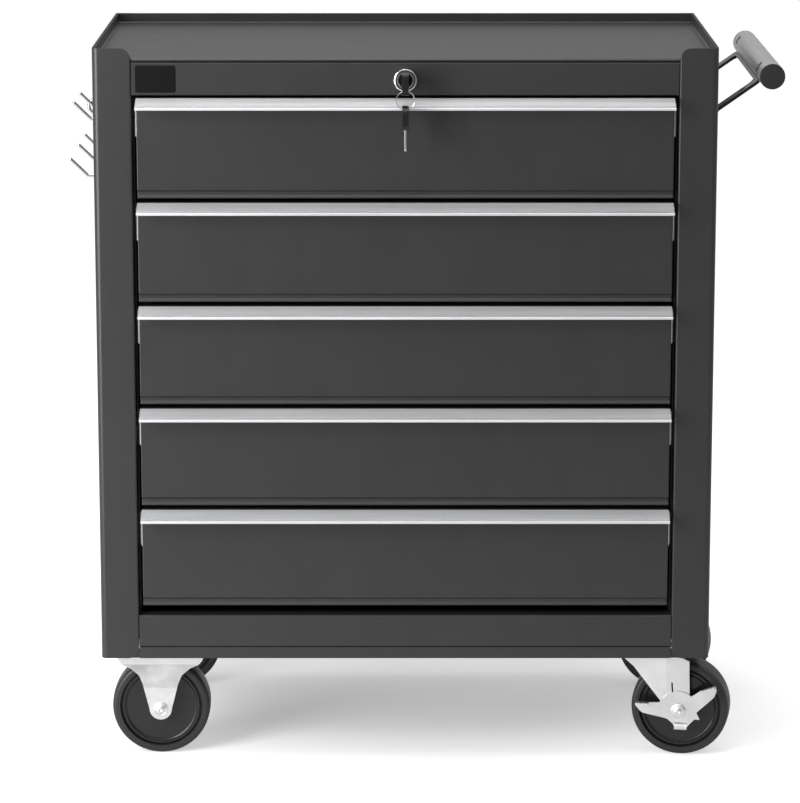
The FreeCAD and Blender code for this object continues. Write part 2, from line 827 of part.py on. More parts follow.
def cut_key(label, x, y, z, shank_from, shank_to, bow_low, bow_high, hole):
    """A key: a steel blade and a moulded bow, both in the YZ plane of its own place."""
    body = new_body(label, x=x, y=y, z=z)
    slab(body, "YZ_Plane", [rectangle(*bow_low, *bow_high)], "-bow_thickness / 2", "bow_thickness / 2")
    corners = [(u, v) for u in (bow_low[0], bow_high[0]) for v in (bow_low[1], bow_high[1])]
    round_edges(body, "x", "bow_corner", corners)
    shank = rectangle(*shank_from, *shank_to)
    slab(body, "YZ_Plane", [shank], "-key_blade_width / 2", "key_blade_width / 2")
    cut(body, "YZ_Plane", [(*hole, "bow_hole_radius")], "-bow_thickness", "bow_thickness")
    return body


def keys_and_ring():
    """The key in the plug, and the split ring through its bow with the spare key hanging from it."""
    half_blade = "key_blade_height / 2"
    cut_key(
        "key",
        "0",
        "0",
        "lock_height",
        ("bow_start - key_root", f"-{half_blade}"),
        ("bezel_front + key_blade_length", half_blade),
        ("bow_end", "-bow_width / 2"),
        ("bow_start", "bow_width / 2"),
        ("ring_y", "bow_hole_z"),
    )
    ring = new_body("key_ring", y="ring_y", z="ring_centre")
    half = "ring_wire / 2"
    section = rectangle(f"-{half}", f"ring_radius - {half}", half, f"ring_radius + {half}")
    revolve(ring, "YZ_Plane", "H_Axis", section)
    cut_key(
        "spare_key",
        "0",
        "ring_y",
        "spare_hole_z",
        (f"-{half_blade}", "-spare_key_drop"),
        (half_blade, "bow_hole_inset - spare_bow_length + key_root"),
        ("-bow_width / 2", "bow_hole_inset - spare_bow_length"),
        ("bow_width / 2", "bow_hole_inset"),
        ("0", "0"),
    )


def lock_rod():
    """A square rod from the plug to the back, with the crank whose pin lifts the bar."""
    body = new_body("lock_rod", z="lock_height")
    half = "rod_side / 2"
    slab(body, "XZ_Plane", [rectangle(f"-{half}", f"-{half}", half, half)], "plug_back", "crank_back")
    width = "crank_pin_radius + crank_wall"
    arm = rectangle(f"-({width})", "-crank_radius - crank_end", width, f"-{half}")
    slab(body, "XZ_Plane", [arm], "crank_front", "crank_back")
    pin = ("0", "-crank_radius", "crank_pin_radius")
    slab(body, "XZ_Plane", [pin], "crank_back", "back_sheet - pin_end_gap")


def lock_bar():
    """The upright bar at the back, with a hook for each drawer and a slot for the crank pin."""
    body = new_body("lock_bar")
    slot_top = "lock_height - crank_radius + crank_pin_radius + pin_play"
    slot_bottom = "lock_height - crank_radius - crank_pin_radius - slot_slack - pin_play"
    lowest = f"front_top - {len(DRAWERS) - 1} * front_pitch - catch_drop - bar_tail"
    half = "bar_width / 2"
    left = "-crank_radius - crank_pin_radius - bar_arm"
    outline = [
        (f"-{half}", lowest),
        (half, lowest),
        (half, "lock_height"),
        (left, "lock_height"),
        (left, f"{slot_bottom} - bar_web"),
        (f"-{half}", f"{slot_bottom} - bar_shoulder"),
    ]
    slot = rectangle(
        "-crank_radius - crank_pin_radius - pin_play",
        slot_bottom,
        "crank_pin_radius + pin_play",
        slot_top,
    )
    slab(body, "XZ_Plane", [outline, slot], "bar_front", "bar_back")
    for number in DRAWERS:
        top = f"front_top - {number - 1} * front_pitch - catch_drop - catch_lip - bar_hook_room"
        root = f"{top} - bar_hook_height"
        tip = "catch_back - catch_gauge - bar_hook_gap"
        hook = [
            ("bar_front", root),
            (f"{tip} - bar_gauge", root),
            (f"{tip} - bar_gauge", top),
            (tip, top),
            (tip, f"{root} + bar_gauge"),
            ("bar_front", f"{root} + bar_gauge"),
        ]
        slab(body, "YZ_Plane", [hook], "-bar_hook_width / 2", "bar_hook_width / 2")


def lock_bar_guides():
    """Two straps on the back panel that hold the bar."""
    middle = "front_top - catch_drop - front_pitch / 2"
    body = new_body("lock_bar_guides", z=middle)
    inside = "bar_width / 2 + bar_play"
    outside = f"{inside} + guide_gauge"
    bridge = "bar_front - bar_play"
    right = [
        (inside, "back_sheet"),
        (f"{outside} + guide_foot", "back_sheet"),
        (f"{outside} + guide_foot", "back_sheet - guide_gauge"),
        (outside, "back_sheet - guide_gauge"),
        (outside, f"{bridge} - guide_gauge"),
    ]
    left = [(f"-({u})", v) for u, v in reversed(right)]
    plan = right + left + [(f"-({inside})", bridge), (inside, bridge)]
    slab(body, "XY_Plane", [plan], "-guide_height / 2", "guide_height / 2")
    repeat(body, step=("Z_Axis", "(drawer_count - 2) * front_pitch", 2))


# Push handle


def handle():
    """The tube with its end caps, and the bent bracket welded under it."""
    half = "handle_length / 2"
    tube = new_body("handle_tube", x="tube_x", z="handle_height")
    walls = [
        (f"-{half} + cap_thickness", "tube_bore"),
        (f"-{half} + cap_thickness", "tube_radius"),
        (f"{half} - cap_thickness", "tube_radius"),
        (f"{half} - cap_thickness", "tube_bore"),
    ]
    revolve(tube, "YZ_Plane", "H_Axis", walls)

    caps = new_body("handle_end_caps", x="tube_x", z="handle_height")
    plug_end = f"-{half} + cap_thickness + cap_plug_length"
    cap = [
        (f"-{half}", "0"),
        (f"-{half}", "tube_radius"),
        (f"-{half} + cap_thickness", "tube_radius"),
        (f"-{half} + cap_thickness", "tube_bore - running_play"),
        (plug_end, "tube_bore - running_play"),
        (plug_end, "0"),
    ]
    revolve(caps, "YZ_Plane", "H_Axis", cap)
    repeat(caps, mirrors=("XZ_Plane",))

    # the bracket's section: a foot on the side panel, then a slope that points at the tube's axis
    slope = "bracket_slope * 1deg"
    along = f"(handle_reach / cos({slope}) - tube_radius - weld_gap)"
    foot_top = f"handle_height - handle_reach * tan({slope})"
    lift = f"bracket_gauge / 2 / cos({slope})"
    end_x = f"side + {along} * cos({slope})"
    end_z = f"{foot_top} + {along} * sin({slope})"
    side_x = f"bracket_gauge / 2 * sin({slope})"
    side_z = f"bracket_gauge / 2 * cos({slope})"
    bracket = new_body("handle_bracket")
    section = [
        ("side", f"{foot_top} + {lift}"),
        ("side", f"{foot_top} - bracket_foot"),
        ("side + bracket_gauge", f"{foot_top} - bracket_foot"),
        ("side + bracket_gauge", f"{foot_top} - {lift} + bracket_gauge * tan({slope})"),
        (f"{end_x} + {side_x}", f"{end_z} - {side_z}"),
        (f"{end_x} - {side_x}", f"{end_z} + {side_z}"),
    ]
    for sign in ("-", ""):
        arm = f"{sign}bracket_spacing / 2"
        slab(bracket, "XZ_Plane", [section], f"{arm} - bracket_arm / 2", f"{arm} + bracket_arm / 2")
    start_x = f"{end_x} - bracket_bridge * cos({slope})"
    start_z = f"{end_z} - bracket_bridge * sin({slope})"
    bridge = [
        (f"{start_x} + {side_x}", f"{start_z} - {side_z}"),
        (f"{end_x} + {side_x}", f"{end_z} - {side_z}"),
        (f"{end_x} - {side_x}", f"{end_z} + {side_z}"),
        (f"{start_x} - {side_x}", f"{start_z} + {side_z}"),
    ]
    slab(bracket, "XZ_Plane", [bridge], "-bracket_spacing / 2", "bracket_spacing / 2")


# Peg hooks: straight chords round each bend, and degrees to a chord round the ring

BEND_CHORDS = 3
RING_CHORD = 40


def arc_spots(before, corner, after, radius):
    """Points along the arc that rounds a corner of a path."""
    inward = (corner - before).normalize()
    outward = (after - corner).normalize()
    turn = inward.getAngle(outward)
    enter = corner - inward * (radius * math.tan(turn / 2))
    side = (outward - inward * math.cos(turn)).normalize()
    angles = [turn * i / BEND_CHORDS for i in range(BEND_CHORDS + 1)]
    return [enter + inward * (radius * math.sin(a)) + side * (radius * (1 - math.cos(a))) for a in angles]


def bent_path(points, radius):
    """A path whose inner corners are bent in a few equal chords."""
    spots = [points[0]]
    for before, corner, after in zip(points, points[1:], points[2:]):
        spots += arc_spots(before, corner, after, radius)
    return spots + [points[-1]]


def wire_along(spots, radius):
    """An eight-sided wire along a path that starts straight down."""
    corners = [math.radians(22.5 + 45 * i) for i in range(9)]
    section = [spots[0] + FreeCAD.Vector(radius * math.cos(a), radius * math.sin(a), 0) for a in corners]
    right_corners = 1
    return Part.makePolygon(spots).makePipeShell([Part.makePolygon(section)], True, False, right_corners)


def peg_hooks():
    """Five bent wire hooks and one ring hook, each with its tail turned up behind the side panel."""
    side = value("side")
    radius = value("hook_wire / 2")
    pitch = value("peg_pitch")
    first = value("peg_first_column")
    top_row = value("peg_top_row")
    tail_x = -value("inner_side") + radius + value("hole_play")
    bend = value("hook_bend")
    solids = []
    ring_hole = (8, 2)
    for column, row in ((2, 4), (6, 4), (9, 4), (4, 2), (7, 2), ring_hole):
        y = first + (column - 1) * pitch
        z = top_row - row * pitch
        tail = FreeCAD.Vector(tail_x, y, z + value("hook_tail"))
        heel = FreeCAD.Vector(tail_x, y, z)
        if (column, row) == ring_hole:
            centre = FreeCAD.Vector(-side - value("ring_hook_out"), y, z)
            loop = value("ring_hook_radius")
            neck = centre + FreeCAD.Vector(loop, 0, 0)
            turns = [math.radians(RING_CHORD * i) for i in range(1, 360 // RING_CHORD)]
            curl = [centre + FreeCAD.Vector(loop * math.cos(a), 0, -loop * math.sin(a)) for a in turns]
            spots = bent_path([tail, heel, neck], bend) + curl
        else:
            knee = FreeCAD.Vector(-side - value("hook_out"), y, z)
            tip = FreeCAD.Vector(-side - value("hook_reach"), y, z + value("hook_rise"))
            spots = bent_path([tail, heel, knee, tip], bend)
        solids.append(wire_along(spots, radius))
    hooks = doc.addObject("Part::Feature", "peg_hooks")
    hooks.Label = "peg_hooks"
    hooks.Shape = Part.makeCompound(solids)
    seat(hooks)
    nodes.append(hooks)


# Casters


def wheel(label, x, y, turn=None):
    """A wheel with a raised rim, a recessed disc and a hub."""
    body = new_body(label, x=x, y=y, z="wheel_radius", turn=turn)
    disc = "wheel_width / 2 - disc_recess"
    section = []
    for sign in ("-", ""):
        face = [
            (f"{sign}hub_width / 2", "axle_radius + running_play"),
            (f"{sign}hub_width / 2", "hub_radius"),
            (f"{sign}({disc})", "hub_radius"),
            (f"{sign}({disc})", "rim_inner_radius"),
            (f"{sign}wheel_width / 2", "rim_inner_radius"),
            (f"{sign}wheel_width / 2", "wheel_radius"),
        ]
        section += face if sign else list(reversed(face))
    revolve(body, "YZ_Plane", "H_Axis", section)


def axle(label, x, y, turn=None, rows=1):
    """A riveted axle that stands out past each fork leg, and past the brake plate where there is one."""
    body = new_body(label, x=x, y=y, z="wheel_radius", turn=turn)
    outside = "fork_outer + brake_gap * 2 + brake_gauge" if turn else "fork_outer"
    slab(body, "XZ_Plane", [("0", "0", "axle_radius")], f"-({outside}) - axle_end", "fork_outer + axle_end")
    if rows > 1:
        repeat(body, step=("Y_Axis", "2 * caster_y", rows), downwards=False)


def mounting_plate(body, y, low):
    """A caster's plate against the base pan."""
    plan = rectangle(
        "-plate_length / 2",
        f"{y} - plate_width / 2",
        "plate_length / 2",
        f"{y} + plate_width / 2",
    )
    slab(body, "XY_Plane", [plan], low, f"{low} + plate_gauge")


def fixed_caster_forks():
    """Two pressed forks with curved shoulders, each under its own plate."""
    body = new_body("fixed_caster_forks", x="-caster_x")
    mounting_plate(body, "-caster_y", "plate_underside")
    leg = [
        ("fork_shoulder", "plate_underside"),
        ("fork_shoulder", "wheel_radius + 50"),
        ("fork_shoulder - 5", "wheel_radius + 42.5"),
        ("fork_shoulder - 16", "wheel_radius + 37"),
        ("fork_toe_radius + 5.3", "wheel_radius + 21"),
        ("fork_toe_radius", "wheel_radius"),
    ]
    outline = leg + [(f"-({u})", v) for u, v in reversed(leg)]
    toe = ("0", "wheel_radius", "fork_toe_radius")
    inner = "fork_gap / 2"
    for low, high in ((f"-caster_y - {inner} - fork_gauge", f"-caster_y - {inner}"),
                      (f"-caster_y + {inner}", f"-caster_y + {inner} + fork_gauge")):
        slab(body, "XZ_Plane", [outline], low, high)
        slab(body, "XZ_Plane", [toe], low, high)
    u, v = leg[3]
    shoulders = [(u, v), (f"-({u})", v)]
    round_edges(body, "y", "fork_shoulder_bend", shoulders)
    bore = ("0", "wheel_radius", "axle_radius + running_play")
    cut(body, "XZ_Plane", [bore], "-caster_y - fork_gap", "-caster_y + fork_gap")
    repeat(body, mirrors=("XZ_Plane",))


def swivel_caster_plates():
    """Two plates with their ball races and king pins."""
    body = new_body("swivel_caster_plates", x="caster_x")
    mounting_plate(body, "-caster_y", "plate_underside")
    race = ("0", "-caster_y", "race_radius")
    slab(body, "XY_Plane", [race], "crown_top + slide_play", "plate_underside")
    pin = ("0", "-caster_y", "king_pin_radius")
    head_top = "crown_under - slide_play"
    slab(body, "XY_Plane", [pin], head_top, "crown_top + slide_play")
    head = hexagon("0", "-caster_y", "king_head_radius")
    slab(body, "XY_Plane", [head], f"{head_top} - king_head", head_top)
    repeat(body, mirrors=("XZ_Plane",))


def swivel_fork(label, y):
    """A pressed fork that trails behind its king pin."""
    body = new_body(label, x="caster_x", y=y, turn="swivel_yaw")
    crown = rectangle("-crown_front", "-fork_outer", "crown_back", "fork_outer")
    slab(body, "XY_Plane", [crown], "crown_under", "crown_top")
    leg = [
        ("-crown_front", "crown_under"),
        ("-crown_front - 5", "wheel_radius + 55"),
        ("-13.5", "wheel_radius + 41"),
        ("trail - fork_toe_radius", "wheel_radius - 4"),
        ("trail + fork_toe_radius - 0.4", "wheel_radius + 4"),
        ("trail + 7", "wheel_radius + 20"),
        ("trail + 4", "wheel_radius + 53"),
        ("crown_back", "crown_under - crown_gauge"),
        ("crown_back", "crown_under"),
    ]
    toe = ("trail", "wheel_radius", "fork_toe_radius")
    inner = "fork_gap / 2"
    for low, high in ((f"-{inner} - fork_gauge", f"-{inner}"), (inner, f"{inner} + fork_gauge")):
        slab(body, "XZ_Plane", [leg], low, high)
        slab(body, "XZ_Plane", [toe], low, high)
    pin_hole = ("0", "0", "king_pin_radius + running_play")
    cut(body, "XY_Plane", [pin_hole], "crown_under - cut_past", "crown_top + cut_past")
    bore = ("trail", "wheel_radius", "axle_radius + running_play")
    cut(body, "XZ_Plane", [bore], "-fork_gap", "fork_gap")


def brake_lever(label, x, y):
    """The stamped brake plate that turns on the axle, with two pedal wings and a stop tab."""
    body = new_body(label, x=x, y=y, z="wheel_radius", turn="swivel_yaw")
    outline = [
        ("-11.8", "9.3"),
        ("-30.4", "7.8"),
        ("-44.4", "7.8"),
        ("-43.3", "3.3"),
        ("-37.8", "-3.3"),
        ("-11.8", "-8.5"),
        ("-5.2", "-13.7"),
        ("-3.7", "-17.6"),
        ("9.3", "-17.6"),
        ("10.4", "-14.8"),
        ("16.7", "-8.1"),
        ("22.2", "-8.5"),
        ("18.5", "-1.1"),
        ("36.3", "15.9"),
        ("39.2", "22.6"),
        ("37.4", "28.5"),
        ("23", "23.3"),
        ("14.8", "18.1"),
    ]
    back = "-fork_outer - brake_gap"
    slab(body, "XZ_Plane", [outline], f"{back} - brake_gauge", back)
    slab(body, "XZ_Plane", [("0", "0", "brake_disc_radius")], f"{back} - brake_gauge", back)
    left_pedal = [("-30.4", "7.8"), ("-44.4", "7.8"), ("-44.4", "6"), ("-30.4", "6")]
    right_pedal = [("23", "23.3"), ("37.4", "28.5"), ("38", "26.8"), ("23.6", "21.6")]
    for pedal in (left_pedal, right_pedal):
        slab(body, "XZ_Plane", [pedal], f"{back} - brake_gauge - pedal_flange", f"{back} - brake_gauge")
    bore = ("0", "0", "axle_radius + running_play")
    cut(body, "XZ_Plane", [bore], f"{back} - brake_gauge - cut_past", f"{back} + cut_past")


def casters():
    """Fixed casters on the left and swivel casters with brakes on the right."""
    fixed_caster_forks()
    axle("fixed_caster_axles", "-caster_x", "-caster_y", rows=2)
    swivel_caster_plates()
    axle_x = "caster_x + trail * cos(swivel_yaw * 1deg)"
    for end, sign in (("front", "-"), ("rear", "")):
        y = f"{sign}caster_y"
        axle_y = f"{y} + trail * sin(swivel_yaw * 1deg)"
        wheel(f"left_{end}_wheel", "-caster_x", y)
        swivel_fork(f"right_{end}_fork", y)
        axle(f"right_{end}_axle", axle_x, axle_y, "swivel_yaw")
        wheel(f"right_{end}_wheel", axle_x, axle_y, "swivel_yaw")
        brake_lever(f"right_{end}_brake", axle_x, axle_y)


side_panel("right_side_panel", "")
peg_holes(side_panel("left_side_panel", "-"))
back_panel()
top_tray()
top_rim()
lock_rail()
kick_rail()
base_pan()
slide_posts()
slide_outer_members()
for drawer in DRAWERS:
    middle_members(drawer)
    runners(drawer)
    drawer_tray(drawer)
    drawer_front(drawer)
    drawer_pull(drawer)
lock_housing()
lock_plug()
keys_and_ring()
lock_rod()
lock_bar()
lock_bar_guides()
handle()
peg_hooks()
casters()

# The origin goes to the bottom centre of the box around every piece.
doc.recompute()
whole = FreeCAD.BoundBox()
for node in nodes:
    whole.add(node.Shape.optimalBoundingBox(False))
for alias, middle in (("frame_x", whole.Center.x), ("frame_y", whole.Center.y)):
    sheet.set(sheet.getCellFromAlias(alias), str(-middle))
doc.recompute()

for item in doc.Objects:
    if "Invalid" in item.State or "Error" in item.State:
        raise ValueError(f"{item.Label} failed: {item.State}")
for node in nodes:
    if node.Shape.isNull() or not node.Shape.isValid():
        raise ValueError(f"{node.Label} has no valid shape")

os.makedirs("parts", exist_ok=True)
for node in nodes:
    node.Shape.exportStep(f"parts/{node.Label}.step")
print(len(nodes), "nodes,", sum(len(node.Shape.Solids) for node in nodes), "solids")
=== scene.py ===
"""Looks of a rolling tool cabinet with five drawers, a lock, a push handle, peg hooks and casters."""

import math

import bmesh
import bpy
from mathutils import Matrix, Vector
from mathutils.geometry import delaunay_2d_cdt

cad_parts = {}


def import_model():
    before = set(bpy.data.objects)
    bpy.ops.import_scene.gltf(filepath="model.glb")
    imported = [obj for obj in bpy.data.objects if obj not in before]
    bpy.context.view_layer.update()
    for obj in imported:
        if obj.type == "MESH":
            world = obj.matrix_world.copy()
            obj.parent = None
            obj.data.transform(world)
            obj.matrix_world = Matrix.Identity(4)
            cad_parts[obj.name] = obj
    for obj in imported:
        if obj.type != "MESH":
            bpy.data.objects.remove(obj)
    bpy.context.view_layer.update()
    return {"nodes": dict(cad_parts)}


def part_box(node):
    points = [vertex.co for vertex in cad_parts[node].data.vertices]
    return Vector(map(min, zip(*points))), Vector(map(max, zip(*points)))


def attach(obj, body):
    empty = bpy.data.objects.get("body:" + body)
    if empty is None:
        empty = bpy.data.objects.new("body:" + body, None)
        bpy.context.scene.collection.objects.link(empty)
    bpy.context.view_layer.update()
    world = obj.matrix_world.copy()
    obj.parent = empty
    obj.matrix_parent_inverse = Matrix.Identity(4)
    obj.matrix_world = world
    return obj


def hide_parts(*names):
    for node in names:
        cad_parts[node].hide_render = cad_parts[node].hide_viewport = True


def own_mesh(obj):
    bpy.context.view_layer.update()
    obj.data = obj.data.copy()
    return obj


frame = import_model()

# Every form is drawn in millimetres about the middle of the shell on the floor, as the construction is.
MM = 0.001
SHIFT = (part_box("left_side_panel")[0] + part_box("right_side_panel")[1]) / 2
SHIFT.z = 0


def span(node):
    """A node's lowest and highest corners in millimetres about the middle of the shell."""
    return [(corner - SHIFT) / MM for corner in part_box(node)]


def middle(node):
    """The middle of a node's box."""
    low, high = span(node)
    return (low + high) / 2


# Places read from the frame
SKIRT = span("right_side_panel")[0].z
SIDE, BACK, TOP = span("right_side_panel")[1]
FRONT = -BACK
POST = span("lock_rail")[1].x
FLOOR = span("top_tray")[1].z
UNDER = span("slide_posts")[1].z
PAN = span("base_pan")[1].z
BACK_SHEET = span("back_panel")[0].y
WHEEL = span("left_front_wheel")[1].z / 2

# The sheets' gauge, the clearance of the sheets between the posts, and the drawers' numbers
GAUGE = 1.2
HALF = GAUGE / 2
FIT = 0.3
INNER = SIDE - GAUGE
DRAWERS = range(1, 6)
SIDES = (1, -1)


# Outlines


def turn_between(one, two):
    """The angle from one flat direction to another."""
    return math.atan2(one.x * two.y - one.y * two.x, one.dot(two))


def rounded(corners, radius=0.0, steps=5):
    """A closed outline with its corners rounded. A corner may carry its own radius as a third number."""
    spots = []
    radii = [corner[2] if len(corner) > 2 else radius for corner in corners]
    for i, corner in enumerate(corners):
        here = Vector(corner[:2])
        before = Vector(corners[i - 1][:2]) - here
        after = Vector(corners[(i + 1) % len(corners)][:2]) - here
        half = before.angle(after) / 2
        if radii[i] <= 0 or half > math.pi / 2 - 0.01:
            spots.append(tuple(here))
            continue
        # A neighbour that is rounded too leaves half of the edge between them, a sharp one nearly all.
        shares = [0.499 if radii[k % len(radii)] > 0 else 0.98 for k in (i - 1, i + 1)]
        reach = min(radii[i] / math.tan(half), before.length * shares[0], after.length * shares[1])
        inward = (before.normalized() + after.normalized()).normalized()
        centre = here + inward * (reach / math.cos(half))
        start = here + before.normalized() * reach - centre
        turn = turn_between(start, here + after.normalized() * reach - centre)
        spots += [tuple(centre + Matrix.Rotation(turn * k / steps, 2) @ start) for k in range(steps + 1)]
    return spots


def arc(centre, radius, start, end, steps):
    """Points on an arc, with its angles in degrees."""
    angles = [math.radians(start + (end - start) * i / steps) for i in range(steps + 1)]
    return [(centre[0] + radius * math.cos(a), centre[1] + radius * math.sin(a)) for a in angles]


def circle(centre, radius, sides=24):
    """Points round a circle."""
    return arc(centre, radius, 0, 360 - 360 / sides, sides - 1)


def box_outline(low_u, low_v, high_u, high_v, radius=0.0, steps=4):
    """A rectangle with rounded corners."""
    return rounded([(low_u, low_v), (high_u, low_v), (high_u, high_v), (low_u, high_v)], radius, steps)


def mirrored(half, u=1, v=-1):
    """An outline completed by its mirror image."""
    return half + [(u * a, v * b) for a, b in reversed(half)]


def inset(outline, depth):
    """The outline moved inwards all round."""
    pairs = list(zip(outline, outline[1:] + outline[:1]))
    way = 1 if sum(a[0] * b[1] - b[0] * a[1] for a, b in pairs) > 0 else -1
    normals = [Vector((a[1] - b[1], b[0] - a[0])).normalized() * way for a, b in pairs]
    moved = []
    for i, spot in enumerate(outline):
        one, two = normals[i - 1], normals[i]
        moved.append(tuple(Vector(spot) + (one + two) * (depth / max(1 + one.dot(two), 0.3))))
    return moved


def inside(spot, outline):
    """Whether a point lies in a closed outline."""
    found = False
    for (u1, v1), (u2, v2) in zip(outline, outline[1:] + outline[:1]):
        if (v1 > spot[1]) != (v2 > spot[1]) and spot[0] < (u2 - u1) * (spot[1] - v1) / (v2 - v1) + u1:
            found = not found
    return found


class Fold:
    """A bent sheet's middle line, which carries a flat pattern round its bends."""

    def __init__(self, path, radius, steps=7):
        """The bends have the mean radius, or a corner's own as its third number."""
        self.stations = []
        self.creases = []
        self.length = 0.0
        spots = [Vector(corner[:2]) for corner in path]
        for i, here in enumerate(spots):
            bent = 0 < i < len(spots) - 1
            if bent:
                own = path[i][2] if len(path[i]) > 2 else radius
                passed = self.bend(*spots[i - 1:i + 2], own, steps)
            else:
                along = (spots[1] - spots[0] if i == 0 else spots[-1] - spots[-2]).normalized()
                passed = [(here, Vector((-along.y, along.x)))]
            for spot, normal in passed:
                if self.stations:
                    self.length += (spot - self.stations[-1][1]).length
                self.stations.append((self.length, spot, normal))
                if bent:
                    self.creases.append(self.length)

    @staticmethod
    def bend(before, here, after, radius, steps):
        """Points and normals round one corner."""
        inward = (here - before).normalized()
        turn = turn_between(inward, (after - here).normalized())
        side = 1 if turn > 0 else -1
        normal = Vector((-inward.y, inward.x))
        centre = here - inward * (radius * math.tan(abs(turn) / 2)) + normal * radius * side
        facings = [Matrix.Rotation(turn * step / steps, 2) @ normal for step in range(steps + 1)]
        return [(centre - facing * radius * side, facing) for facing in facings]

    def at(self, index, level):
        """The length at which the line's coordinate first reaches a level."""
        for (one, a, _), (two, b, _) in zip(self.stations, self.stations[1:]):
            first, last = a[index], b[index]
            if first != last and min(first, last) - 0.001 <= level <= max(first, last) + 0.001:
                return one + (two - one) * (level - first) / (last - first)
        raise ValueError(f"the line doesn't reach {level}")

    def place(self, length, lift):
        """The point at a length along the line, lifted off it by so much."""
        for (one, a, m), (two, b, n) in zip(self.stations, self.stations[1:]):
            if length <= two + 1e-6:
                break
        part = (length - one) / max(two - one, 1e-9)
        return a.lerp(b, part) + m.lerp(n, min(max(part, 0), 1)) * lift

    def section(self, gauge):
        """The closed outline of the bent sheet."""
        up = [spot + normal * gauge / 2 for _, spot, normal in self.stations]
        down = [spot - normal * gauge / 2 for _, spot, normal in reversed(self.stations)]
        return [tuple(spot) for spot in up + down]


AXES = {
    "x": lambda u, v, w: Vector((w, u, v)),
    "y": lambda u, v, w: Vector((u, w, v)),
    "z": lambda u, v, w: Vector((u, v, w)),
}


